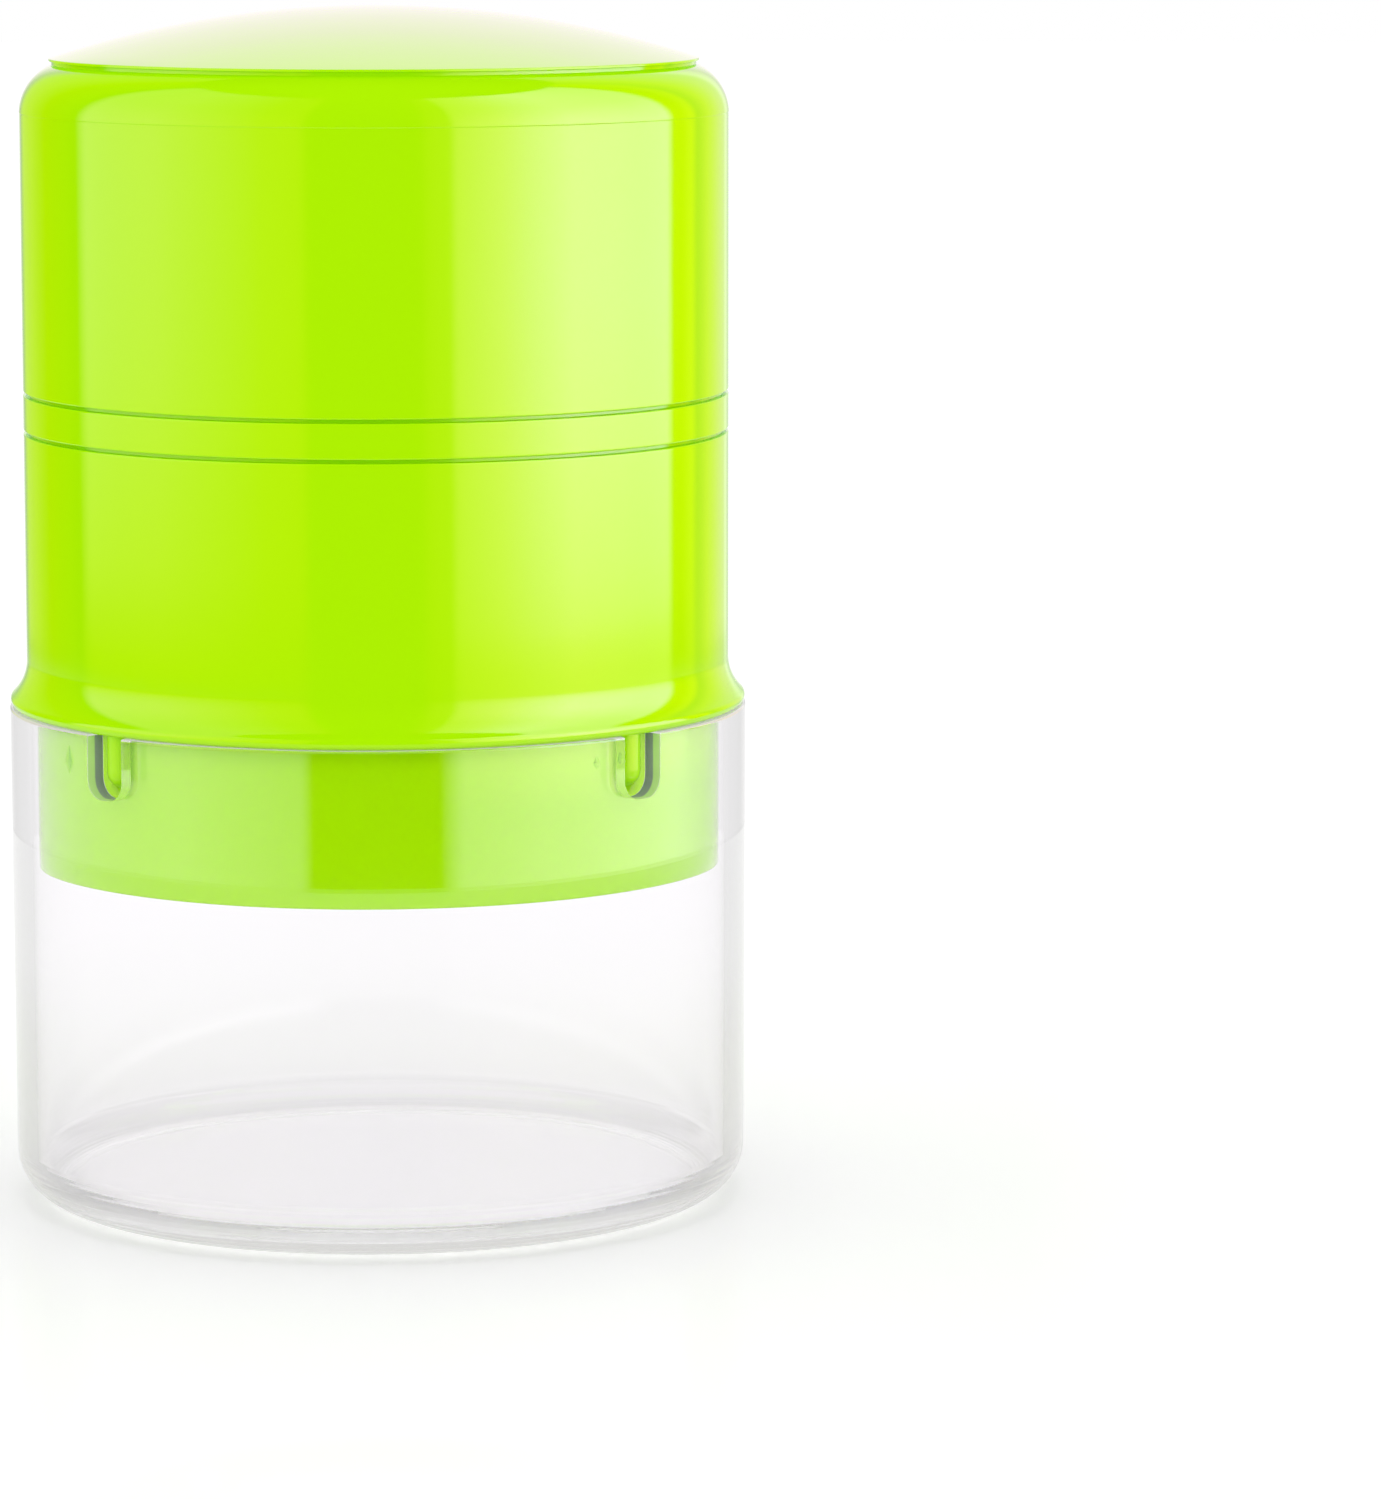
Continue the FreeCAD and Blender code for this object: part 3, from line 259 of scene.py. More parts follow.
@dataclass(frozen=True)
class ClearPlastic(Finish):
    """Polished clear plastic that bends light, satin on the sides of the notches in its rim, which carry a
    painted grey-violet shade inwards and a painted pale green-white highlight outwards.

    Where a ray has been turned back three times in the wall, as at the base's corner, the wall gives off a
    painted pale grey glow in place of the light that would come out.
    """

    tint: Colour
    roughness: float
    index: float
    # Painted grey-violet shade and painted pale green-white highlight on the notches' sides, split at a
    # radius.
    satin_painted_shade: Colour
    satin_painted_highlight: Colour
    satin_border: float
    wall: Point
    notch: Point
    # Colour and turn count of the painted glow in the wall.
    painted_glow_colour: Colour = (0.70, 0.70, 0.68)
    painted_glow_turns: int = 3
    satin_roughness: float = 0.4
    satin_blur: float = 0.1 * MM
    haze_scale: float = 60.0
    ripple_scale: float = 120.0
    ripple: float = 5e-7

    def satin(self, tree: Tree) -> tuple[Socket, Socket]:
        """Painted shade and highlight colour of the notches' sides, and a mask that is 1 on them where they
        are seen from outside.
        """
        split = tree.node("ShaderNodeSeparateXYZ", {0: object_place(tree)}).outputs
        square = tree.sum("MULTIPLY_ADD", split["X"], split["X"], tree.times(split["Y"], split["Y"]))
        out = tree.sum("SQRT", square)
        sides = tree.times(tree.inside(out, self.wall), tree.inside(split["Z"], self.notch))
        outer = tree.step(out, self.satin_border - self.satin_blur, self.satin_border + self.satin_blur)
        facing = tree.sum("SUBTRACT", 1.0, tree.node("ShaderNodeNewGeometry").outputs["Backfacing"])
        return shade(tree, outer, self.satin_painted_shade, self.satin_painted_highlight), tree.times(sides, facing)

    def surface(self, tree: Tree) -> Node:
        """Build the shader."""
        polished = tree.node("ShaderNodeBsdfPrincipled", {
            "Base Color": self.tint,
            "Roughness": between(tree, noise(tree, self.haze_scale, 3.0), 0.0, self.roughness),
            "IOR": self.index,
            "Transmission Weight": 1.0,
            "Normal": bumped(tree, noise(tree, self.ripple_scale, 1.0), self.ripple)})
        # colour is the painted shade and highlight of the notches' sides.
        colour, mask = self.satin(tree)
        satin = tree.node("ShaderNodeBsdfPrincipled", {
            "Base Color": colour, "Roughness": self.satin_roughness})
        both = tree.node("ShaderNodeMixShader", {0: mask, 1: polished, 2: satin})
        # Painted pale grey glow: an emission where a ray has been turned back three times in the wall.
        turned_back = tree.sum("SUBTRACT", 1.0, tree.fewer("Glossy Depth", self.painted_glow_turns))
        painted_glow_mask = tree.times(turned_back, tree.fewer("Diffuse Depth", 1))
        painted_glow = tree.node("ShaderNodeEmission", {"Color": self.painted_glow_colour, "Strength": 1.0})
        return tree.node("ShaderNodeMixShader", {0: painted_glow_mask, 1: both, 2: painted_glow})


@dataclass(frozen=True)
class WorkedMetal(Finish):
    """Metal with fine lines from grinding, drawing or turning."""

    colour: Colour
    darker: Colour
    roughness: float
    spread: float
    grain: Grain
    depth: float

    def surface(self, tree: Tree) -> Node:
        """Build the shader."""
        lines = noise(tree, 1.0, 4.0, self.grain.value)
        return tree.node("ShaderNodeBsdfPrincipled", {
            "Base Color": shade(tree, lines, self.darker, self.colour),
            "Metallic": 1.0,
            "Roughness": between(tree, lines, self.roughness, self.roughness + self.spread),
            "Normal": bumped(tree, lines, self.depth)})


FINISHES = {
    Slot.CLEAR: ClearPlastic(
        "clear_plastic_polished", (0.985, 0.973, 0.99), 0.01, 1.49, (0.35, 0.35, 0.45), (0.66, 0.86, 0.40),
        0.0438, (0.04253, 0.04493), (0.0524, 0.0606)),
    Slot.GREEN: MouldedPlastic(
        "lime_plastic_glossy", (0.452, 0.93, 0.0), (0.442, 0.92, 0.0), 0.05, 0.03, 3e-6, (1.0, 0.4, 0.6)),
    Slot.WHITE: MouldedPlastic(
        "white_plastic_satin", (0.84, 0.85, 0.82), (0.80, 0.81, 0.78), 0.32, 0.12, 6e-6),
    Slot.BLADE: WorkedMetal(
        "ground_blade_steel", (0.62, 0.63, 0.65), (0.45, 0.46, 0.48), 0.18, 0.16, Grain.ALONG_X, 4e-6),
    Slot.PLATED: WorkedMetal(
        "bright_plated_steel", (0.74, 0.74, 0.76), (0.66, 0.66, 0.68), 0.10, 0.10, Grain.ROUND_AXIS, 2e-6),
    Slot.WIRE: WorkedMetal(
        "drawn_spring_wire", (0.52, 0.53, 0.55), (0.38, 0.39, 0.41), 0.22, 0.18, Grain.ROUND_AXIS, 3e-6),
    Slot.BRASS: WorkedMetal(
        "turned_brass", (0.74, 0.52, 0.20), (0.60, 0.40, 0.13), 0.20, 0.12, Grain.ROUND_AXIS, 3e-6),
}


@dataclass
class Profile:
    """Half section of a turned piece: radius against height in millimetres, with its corners rounded."""

    corners: list[tuple[float, ...]] = field(default_factory=list)
    steps: int = 6
    hold: float = 0.12

    def to(self, radius: float, height: float, bend: float = 0.0) -> "Profile":
        """Add a corner that is rounded by a bend radius."""
        self.corners.append((radius, height, bend))
        return self

    def arc(self, end: Point, radius: float, steps: int = 16) -> "Profile":
        """Add an arc from the last corner. A positive radius bends left along the way, a negative one right.

        Args:
            end: Radius and height where the arc ends.
            radius: The arc's signed radius.
            steps: How many chords stand for it.

        Returns:
            This profile.
        """
        start = Vector(self.corners[-1][:2])
        chord = Vector(end) - start
        side = Vector((-chord.y, chord.x)).normalized() * math.copysign(1.0, radius)
        centre = (start + Vector(end)) / 2 + side * math.sqrt(radius ** 2 - chord.length_squared / 4)
        first = math.atan2(start.y - centre.y, start.x - centre.x)
        last = math.atan2(end[1] - centre.y, end[0] - centre.x)
        sweep = (last - first + math.pi) % (2 * math.pi) - math.pi
        for step in range(1, steps + 1):
            angle = first + sweep * step / steps
            self.to(centre.x + abs(radius) * math.cos(angle), centre.y + abs(radius) * math.sin(angle))
        return self

    def points(self, closed: bool = True) -> list[Point]:
        """Corners as a fine polyline in millimetres.

        Args:
            closed: Whether the last corner leads back to the first.

        Returns:
            Points with rounded corners, and one more close to each end of a long straight run.
        """
        made: list[Point] = []
        count = len(self.corners)
        for index, (radius, height, bend) in enumerate(self.corners):
            here = Vector((radius, height))
            if not closed and index in (0, count - 1):
                made.append(tuple(here))
                continue
            before = Vector(self.corners[index - 1][:2])
            after = Vector(self.corners[(index + 1) % count][:2])
            made += [tuple(point) for point in self.rounded(before, here, after, bend)]
        return self.held(made, closed)

    def rounded(self, before: Vector, here: Vector, after: Vector, bend: float) -> list[Vector]:
        """Points of the arc that rounds one corner, or the corner itself."""
        back, ahead = (before - here).normalized(), (after - here).normalized()
        half = back.angle(ahead) / 2 if bend else 0.0
        if not bend or half > math.pi / 2 - 0.02:
            return [here]
        reach = bend / math.tan(half)
        centre = here + (back + ahead).normalized() * bend / math.sin(half)
        start, end = here + back * reach - centre, here + ahead * reach - centre
        steps = max(3, round(self.steps * (math.pi - 2 * half) / (math.pi / 2)))
        return [centre + start.slerp(end, step / steps).normalized() * bend for step in range(steps + 1)]

    def held(self, points: list[Point], closed: bool) -> list[Point]:
        """Add a point close to each end of every long run, which keeps its shading flat."""
        made: list[Point] = []
        count = len(points)
        for index, point in enumerate(points):
            made.append(point)
            if index == count - 1 and not closed:
                break
            here, after = Vector(point), Vector(points[(index + 1) % count])
            length = (after - here).length
            if length > self.hold * 5:
                way = (after - here) / length * self.hold
                made += [tuple(here + way), tuple(after - way)]
        return made


def line_mesh(name: str, points: list[Point], closed: bool) -> Mesh:
    """Polyline of a profile as a mesh of edges.

    Args:
        name: Name of the mesh.
        points: Radius and height of each point in millimetres.
        closed: Whether the last point joins the first.

    Returns:
        The mesh, with the profile in the XZ plane.
    """
    mesh = bpy.data.meshes.new(name)
    corners = [(radius * MM, 0.0, height * MM) for radius, height in points]
    count = len(corners)
    edges = [(index, (index + 1) % count) for index in range(count if closed else count - 1)]
    mesh.from_pydata(corners, edges, [])
    return mesh


class NodeShape:
    """A geometry node tree with named inputs, run over a mesh to make a plain mesh."""

    def __init__(self, name: str, inputs: dict[str, int | float]) -> None:
        """Open the tree with a geometry input and output.

        Args:
            name: Name of the tree.
            inputs: Default of each named size, a whole number for a count.
        """
        self.group = bpy.data.node_groups.new(name, "GeometryNodeTree")
        interface = self.group.interface
        interface.new_socket("Geometry", in_out="INPUT", socket_type="NodeSocketGeometry")
        for label, default in inputs.items():
            kind = "NodeSocketInt" if isinstance(default, int) else "NodeSocketFloat"
            interface.new_socket(label, in_out="INPUT", socket_type=kind).default_value = default
        interface.new_socket("Geometry", in_out="OUTPUT", socket_type="NodeSocketGeometry")
        self.tree = Tree(self.group)
        self.source = self.group.nodes.new("NodeGroupInput").outputs

    def round_axis(self, piece: Any) -> Node:
        """Copies of a piece evenly round the upright axis: as many as Count, from First angle on."""
        tree, count = self.tree, self.source["Count"]
        number = tree.node("GeometryNodeInputIndex").outputs[0]
        pitch = tree.sum("DIVIDE", math.tau, count)
        angle = tree.sum("MULTIPLY_ADD", number, pitch, self.source["First angle"])
        turn = tree.node("ShaderNodeCombineXYZ", {"Z": angle})
        spots = tree.node("GeometryNodeMeshLine", {"Count": count, "Offset": (0.0, 0.0, 0.0)})
        return tree.node("GeometryNodeInstanceOnPoints", {
            "Points": spots, "Instance": piece, "Rotation": turn})

    def end(self, geometry: Any) -> None:
        """Close the tree and turn its instances into plain geometry."""
        real = self.tree.node("GeometryNodeRealizeInstances", {"Geometry": geometry})
        self.tree.node("NodeGroupOutput", {"Geometry": real})

    def run(self, mesh: Mesh, values: dict[str, Any]) -> Mesh:
        """Run the tree over a mesh.

        Args:
            mesh: What the tree works on. It is used up.
            values: Values of the named inputs.

        Returns:
            The finished mesh.
        """
        holder = linked(mesh.name, mesh)
        modifier = holder.modifiers.new("shape", "NODES")
        modifier.node_group = self.group
        for item in self.group.interface.items_tree:
            if item.in_out == "INPUT" and item.name in values:
                modifier[item.identifier] = values[item.name]
        seen = holder.evaluated_get(bpy.context.evaluated_depsgraph_get())
        made = bpy.data.meshes.new_from_object(seen)
        bpy.data.objects.remove(holder)
        bpy.data.meshes.remove(mesh)
        return made


def turning_shape() -> NodeShape:
    """Tree that turns a profile line round the upright axis and closes its seam and poles."""
    shape = NodeShape("turned_piece", {"Segments": 256})
    tree = shape.tree
    base = 0.01
    where = tree.node("ShaderNodeSeparateXYZ", {0: tree.node("GeometryNodeInputPosition")}).outputs
    flat = tree.node("ShaderNodeCombineXYZ", {
        "X": tree.sum("SUBTRACT", where["X"], base), "Y": tree.times(where["Z"], -1.0)})
    line = tree.node("GeometryNodeSetPosition", {"Geometry": shape.source["Geometry"], "Position": flat})
    profile = tree.node("GeometryNodeMeshToCurve", {"Mesh": line})
    path = tree.node("GeometryNodeCurvePrimitiveCircle", {
        "Resolution": shape.source["Segments"], "Radius": base})
    skin = tree.node("GeometryNodeCurveToMesh", {"Curve": path, "Profile Curve": profile})
    shape.end(tree.node("GeometryNodeMergeByDistance", {"Geometry": skin, "Distance": WELD}))
    return shape


def ring_shape() -> NodeShape:
    """Tree that repeats a piece evenly round the upright axis."""
    shape = NodeShape("ring_of_pieces", {"Count": 4, "First angle": 0.0})
    shape.end(shape.round_axis(shape.source["Geometry"]))
    return shape


def notched_shape() -> NodeShape:
    """Tree that cuts round-cornered notches down from a rim, evenly round the upright axis."""
    shape = NodeShape("notched_rim", {
        "Count": 4, "First angle": 0.0, "Width": 0.006, "Depth": 0.0076, "Corner": 0.0024,
        "Rim height": 0.0608, "Reach": 0.06, "Start": 0.03})
    tree, source = shape.tree, shape.source
    window = tree.node("GeometryNodeCurvePrimitiveQuadrilateral", {
        "Width": source["Width"], "Height": tree.times(source["Depth"], 2.0)})
    soft = tree.node("GeometryNodeFilletCurve", {"Curve": window, "Count": 8, "Radius": source["Corner"]},
                     mode="POLY")
    face = tree.node("GeometryNodeFillCurve", {"Curve": soft}, mode="NGONS")
    length = tree.sum("SUBTRACT", source["Reach"], source["Start"])
    block = tree.node("GeometryNodeExtrudeMesh", {"Mesh": face, "Offset Scale": length, "Individual": False})
    solid = tree.node("GeometryNodeJoinGeometry")
    tree.link(block, solid.inputs[0])
    tree.link(tree.node("GeometryNodeFlipFaces", {"Mesh": face}), solid.inputs[0])
    welded = tree.node("GeometryNodeMergeByDistance", {"Geometry": solid, "Distance": WELD})
    centre = tree.node("ShaderNodeCombineXYZ", {"X": source["Start"], "Z": source["Rim height"]})
    upright = tree.node("GeometryNodeTransform", {
        "Geometry": welded, "Translation": centre, "Rotation": (math.pi / 2, 0.0, math.pi / 2)})
    cutters = tree.node("GeometryNodeRealizeInstances", {"Geometry": shape.round_axis(upright)})
    shape.end(tree.node("GeometryNodeMeshBoolean", {"Mesh 1": source["Geometry"], "Mesh 2": cutters},
                        operation="DIFFERENCE", solver="EXACT"))
    return shape


def spring_shape() -> NodeShape:
    """Tree that winds a compression spring with closed end turns."""
    shape = NodeShape("wound_spring", {
        "Turns": 9.0, "Coil radius": 0.0105, "Wire radius": 0.00065, "Low": 0.0, "High": 0.05,
        "End pitch": 0.00185, "Ease": 0.5, "Steps": 600})
    tree, source = shape.tree, shape.source
    line = tree.node("GeometryNodeCurvePrimitiveLine", {"End": (0.0, 0.0, 1.0)})
    fine = tree.node("GeometryNodeResampleCurve", {"Curve": line, "Count": source["Steps"]})
    share = tree.node("GeometryNodeSplineParameter").outputs["Factor"]
    turn = tree.times(share, source["Turns"])
    from_top = tree.sum("SUBTRACT", source["Turns"], turn)
    nearest = tree.sum("MINIMUM", turn, from_top)
    closed = tree.sum("ADD", 2.0, source["Ease"])
    open_turns = tree.sum("SUBTRACT", source["Turns"], closed)
    rise = tree.sum("SUBTRACT", source["High"], source["Low"])
    open_rise = tree.sum("SUBTRACT", rise, tree.times(closed, source["End pitch"]))
    extra = tree.sum("SUBTRACT", tree.sum("DIVIDE", open_rise, open_turns), source["End pitch"])
    past = tree.sum("MAXIMUM", tree.sum("SUBTRACT", nearest, 1.0), 0.0)
    eased = tree.sum("MINIMUM", past, source["Ease"])
    beyond = tree.sum("SUBTRACT", past, eased)
    bend = tree.sum("DIVIDE", tree.times(eased, eased), tree.times(source["Ease"], 2.0))
    height = tree.sum("MULTIPLY_ADD", tree.sum("ADD", bend, beyond), extra,
                      tree.times(nearest, source["End pitch"]))
    upper = tree.sum("GREATER_THAN", turn, tree.times(source["Turns"], 0.5))
    from_low = tree.sum("ADD", source["Low"], height)
    from_high = tree.sum("SUBTRACT", source["High"], height)
    level = tree.sum("MULTIPLY_ADD", tree.sum("SUBTRACT", from_high, from_low), upper, from_low)
    angle = tree.times(turn, math.tau)
    place = tree.node("ShaderNodeCombineXYZ", {
        "X": tree.times(tree.sum("COSINE", angle), source["Coil radius"]),
        "Y": tree.times(tree.sum("SINE", angle), source["Coil radius"]),
        "Z": level})
    coil = tree.node("GeometryNodeSetPosition", {"Geometry": fine, "Position": place})
    section = tree.node("GeometryNodeCurvePrimitiveCircle", {
        "Resolution": 16, "Radius": source["Wire radius"]})
    shape.end(tree.node("GeometryNodeCurveToMesh", {
        "Curve": coil, "Profile Curve": section, "Fill Caps": True}))
    return shape


class Workshop:
    """Shape trees and materials that every sub-assembly uses."""

    crease = math.radians(38)

    def __init__(self) -> None:
        """Build the trees and materials once."""
        self.finishes = {slot: material(finish.name, finish.surface) for slot, finish in FINISHES.items()}
        self.turning = turning_shape()
        self.ring = ring_shape()
        self.notching = notched_shape()
        self.spring = spring_shape()

    def turned(self, name: str, profile: Profile, closed: bool = True, segments: int = 256) -> Mesh:
        """Turn a profile full circle.

        Args:
            name: Name of the mesh.
            profile: Half section. An open one starts and ends on the axis.
            closed: Whether the profile is a closed loop.
            segments: How many flats go round.

        Returns:
            The turned mesh with its faces outwards.
        """
        line = line_mesh(name, profile.points(closed), closed)
        return facing_out(self.turning.run(line, {"Segments": segments}))

    def repeated(self, mesh: Mesh, count: int, first_angle: float) -> Mesh:
        """Repeat a piece round the axis, from an angle in degrees counted from +X."""
        return self.ring.run(mesh, {"Count": count, "First angle": math.radians(first_angle)})

    def post(self, name: str, across: float, profile: Profile, segments: int) -> Mesh:
        """Small turned post that stands off the axis by a distance along +X, in millimetres."""
        mesh = self.turned(name, profile, closed=False, segments=segments)
        for vertex in mesh.vertices:
            vertex.co.x += across * MM
        return mesh

    def dressed(self, name: str, meshes: list[Mesh], slot: Slot, *nodes: str) -> bpy.types.Object:
        """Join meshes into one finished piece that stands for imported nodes, and is on no body yet.

        Args:
            name: Name of the piece.
            meshes: Its meshes, which are used up.
            slot: The record's slot that it takes its finish from.
            nodes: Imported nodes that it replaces.

        Returns:
            The finished object.
        """
        made = joined(name, meshes)
        made.materials.append(self.finishes[slot])
        made.shade_smooth()
        made.set_sharp_from_angle(angle=self.crease)
        item = linked(name, made)
        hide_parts(*nodes)
        LOG.info("%s: %d faces", name, len(made.polygons))
        return item

    def piece(self, name: str, meshes: list[Mesh], slot: Slot, body: Body, *nodes: str) -> None:
        """Make a finished piece, as dressed() does, that moves with a body."""
        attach(self.dressed(name, meshes, slot, *nodes), body.value)


def linked(name: str, data: bpy.types.ID) -> bpy.types.Object:
    """New object of a mesh or camera, at the origin of the scene."""
    item = bpy.data.objects.new(name, data)
    bpy.context.scene.collection.objects.link(item)
    return item


def facing_out(mesh: Mesh) -> Mesh:
    """Turn a closed mesh's faces outwards if its signed volume is negative."""
    mesh.calc_loop_triangles()
    corners = [vertex.co for vertex in mesh.vertices]
    if sum(corners[a].dot(corners[b].cross(corners[c])) for a, b, c in
           (triangle.vertices for triangle in mesh.loop_triangles)) < 0:
        mesh.flip_normals()
    return mesh


def plain_mesh(name: str, points: list[tuple[float, ...]], faces: list[list[int]]) -> Mesh:
    """Mesh of points in metres and faces."""
    mesh = bpy.data.meshes.new(name)
    mesh.from_pydata(points, [], faces)
    return mesh


def circle(radius: float, steps: int, first: float = 0.0) -> list[Point]:
    """Points evenly round a circle, the first one a number of steps on from +X."""
    angles = [math.tau * (step + first) / steps for step in range(steps)]
    return [(radius * math.cos(angle), radius * math.sin(angle)) for angle in angles]


def joined(name: str, meshes: list[Mesh]) -> Mesh:
    """Put several meshes into one new mesh and remove them."""
    corners: list[tuple[float, ...]] = []
    faces: list[list[int]] = []
    for mesh in meshes:
        start = len(corners)
        corners += [tuple(vertex.co) for vertex in mesh.vertices]
        faces += [[start + index for index in polygon.vertices] for polygon in mesh.polygons]
        bpy.data.meshes.remove(mesh)
    return plain_mesh(name, corners, faces)


def band(low: int, high: int, count: int) -> list[list[int]]:
    """Faces between two closed loops of points, each given by its first point."""
    return [[low + step, low + (step + 1) % count, high + (step + 1) % count, high + step]
            for step in range(count)]


def slab(name: str, corners: tuple[Point, ...], width: float) -> Mesh:
    """Upright slab of even width in the XZ plane, in millimetres."""
    count = len(corners)
    points = [(across * MM, side * width / 2 * MM, up * MM) for side in (-1, 1) for across, up in corners]
    faces = [list(range(count)), list(range(2 * count - 1, count - 1, -1))]
    faces += [face[::-1] for face in band(0, count, count)]
    return facing_out(plain_mesh(name, points, faces))


@dataclass
class ClearCup:
    """Clear cup with four round-cornered notches in its rim."""

    radius: float = 45.0
    base_radius: float = 44.8
    height: float = 60.8
    wall: float = 2.5
    floor: float = 2.5
    corner: float = 6.0
    inner_corner: float = 4.0
    notch_width: float = 6.0
    notch_depth: float = 7.6
    notch_corner: float = 2.4
    notch_angle: float = 45.0

    def profile(self) -> Profile:
        """Half section of the cup, from the axis under the floor to the axis on it."""
        return (Profile(steps=10).to(0.0, 0.0).to(self.base_radius, 0.0, self.corner)
                .to(self.radius, self.height, 0.3).to(self.radius - self.wall, self.height, 0.3)
                .to(self.base_radius - self.wall, self.floor, self.inner_corner).to(0.0, self.floor))

    def build(self, shop: Workshop) -> None:
        """Turn the cup, cut its notches and dress it."""
        blank = shop.turned("cup_blank", self.profile(), closed=False)
        cut = shop.notching.run(blank, {
            "Count": 4, "First angle": math.radians(self.notch_angle), "Width": self.notch_width * MM,
            "Depth": self.notch_depth * MM, "Corner": self.notch_corner * MM, "Rim height": self.height * MM})
        shop.piece("cup_clear", [cut], Slot.CLEAR, Body.CUP, "clear_cup")


@dataclass
class BladeHousing:
    """Green lower shell with a flared lip, a skirt in the cup, keys in the notches and friction nibs."""

    radius: float = 42.9
    rim: float = 60.8
    top: float = 94.08
    lip: float = 44.9
    lip_bead: float = 0.8
    cove_start: Point = (44.666, 62.166)
    cove_top: float = 66.429
    cove_bend: float = 6.029
    bore: float = 40.7
    bore_low: float = 66.0
    land: float = 42.2
    land_top: float = 94.53
    skirt: float = 41.7
    skirt_low: float = 41.8
    skirt_bore: float = 39.5
    skirt_bore_top: float = 64.8
    ledge: float = 37.3
    ledge_low: float = 43.6
    ledge_top: float = 45.2
    ledge_foot: float = 42.8
    key_centre: float = 41.8
    key_radius: float = 2.0
    key_low: float = 54.4
    lug_pitch: float = 34.0
    lug_inner: float = 31.1
    lug_outer: float = 39.7
    lug_width: float = 8.0
    screw_hole: float = 1.5
    nib_radius: float = 0.5
    nib_top: float = 58.65
    nib_belly: float = 0.6
    nibs: tuple[Point, ...] = ((3.5, 302.0), (1.6, 38.0))
    count: int = 4
    first_angle: float = 45.0

    def shell(self) -> Profile:
        """Closed half section of the shell and its skirt."""
        return (Profile().to(self.skirt, self.skirt_low, 0.3).to(self.skirt, self.rim, 0.1)
                .to(self.lip, self.rim, self.lip_bead).to(self.lip, self.rim + self.lip_bead, 0.0)
                .arc(self.cove_start, self.lip_bead, 8)
                .arc((self.radius, self.cove_top), -self.cove_bend, 20).to(self.radius, self.top, 0.18)
                .to(self.land, self.top, 0.1).to(self.land, self.land_top, 0.1)
                .to(self.bore, self.land_top, 0.1).to(self.bore, self.bore_low, 0.4)
                .to(self.skirt_bore, self.skirt_bore_top, 0.4).to(self.skirt_bore, self.ledge_top)
                .to(self.ledge, self.ledge_top, 0.2).to(self.ledge, self.ledge_low, 0.2)
                .to(self.skirt_bore, self.ledge_foot).to(self.skirt_bore, self.skirt_low, 0.3))

    def keys(self, shop: Workshop) -> Mesh:
        """Four half-round keys that sit in the cup's notches."""
        wide = self.key_radius
        profile = (Profile(steps=8).to(0.0, self.key_low).to(wide, self.key_low, wide * 0.98)
                   .to(wide, self.rim).to(0.0, self.rim))
        post = shop.post("housing_key", self.key_centre, profile, 48)
        return shop.repeated(post, self.count, self.first_angle)

    def nib_pair(self, shop: Workshop, length: float, angle: float) -> Mesh:
        """Two teardrop friction nibs opposite each other on the skirt."""
        belly = self.nib_top - length * self.nib_belly
        profile = (Profile(steps=4).to(0.0, self.nib_top - length).to(self.nib_radius, belly, 0.3)
                   .to(0.0, self.nib_top))
        return shop.repeated(shop.post("housing_nib", self.skirt, profile, 24), 2, angle - 90.0)

    def lugs(self, shop: Workshop) -> Mesh:
        """Four lugs on the ledge, each with a screw hole."""
        steps = 24
        hole = [(self.lug_pitch + x, y) for x, y in circle(self.screw_hole, steps, 0.5)]
        edge = [self.on_border(point) for point in hole]
        points = [(x * MM, y * MM, z * MM) for z in (self.ledge_low, self.ledge_top) for x, y in edge + hole]
        edge_low, hole_low, edge_top, hole_top = (row * steps for row in range(4))
        faces = band(hole_low, edge_low, steps) + band(edge_top, hole_top, steps)
        faces += band(edge_low, edge_top, steps) + band(hole_top, hole_low, steps)
        lug = facing_out(plain_mesh("housing_lug", points, faces))
        return shop.repeated(lug, self.count, self.first_angle)

    def on_border(self, point: Point) -> Point:
        """Where the ray from the hole's centre through a point leaves the lug's rectangle."""
        way = (point[0] - self.lug_pitch, point[1])
        room = self.lug_outer - self.lug_pitch if way[0] > 0 else self.lug_pitch - self.lug_inner
        reach = min(room / max(abs(way[0]), 1e-9), self.lug_width / 2 / max(abs(way[1]), 1e-9))
        return (self.lug_pitch + way[0] * reach, way[1] * reach)

    def build(self, shop: Workshop) -> None:
        """Build the shell with its keys, nibs and lugs."""
        nibs = [self.nib_pair(shop, length, angle) for length, angle in self.nibs]
        meshes = [shop.turned("housing_shell", self.shell()), self.keys(shop), *nibs, self.lugs(shop)]
        shop.piece("housing_green", meshes, Slot.GREEN, Body.HOUSING, "blade_housing")


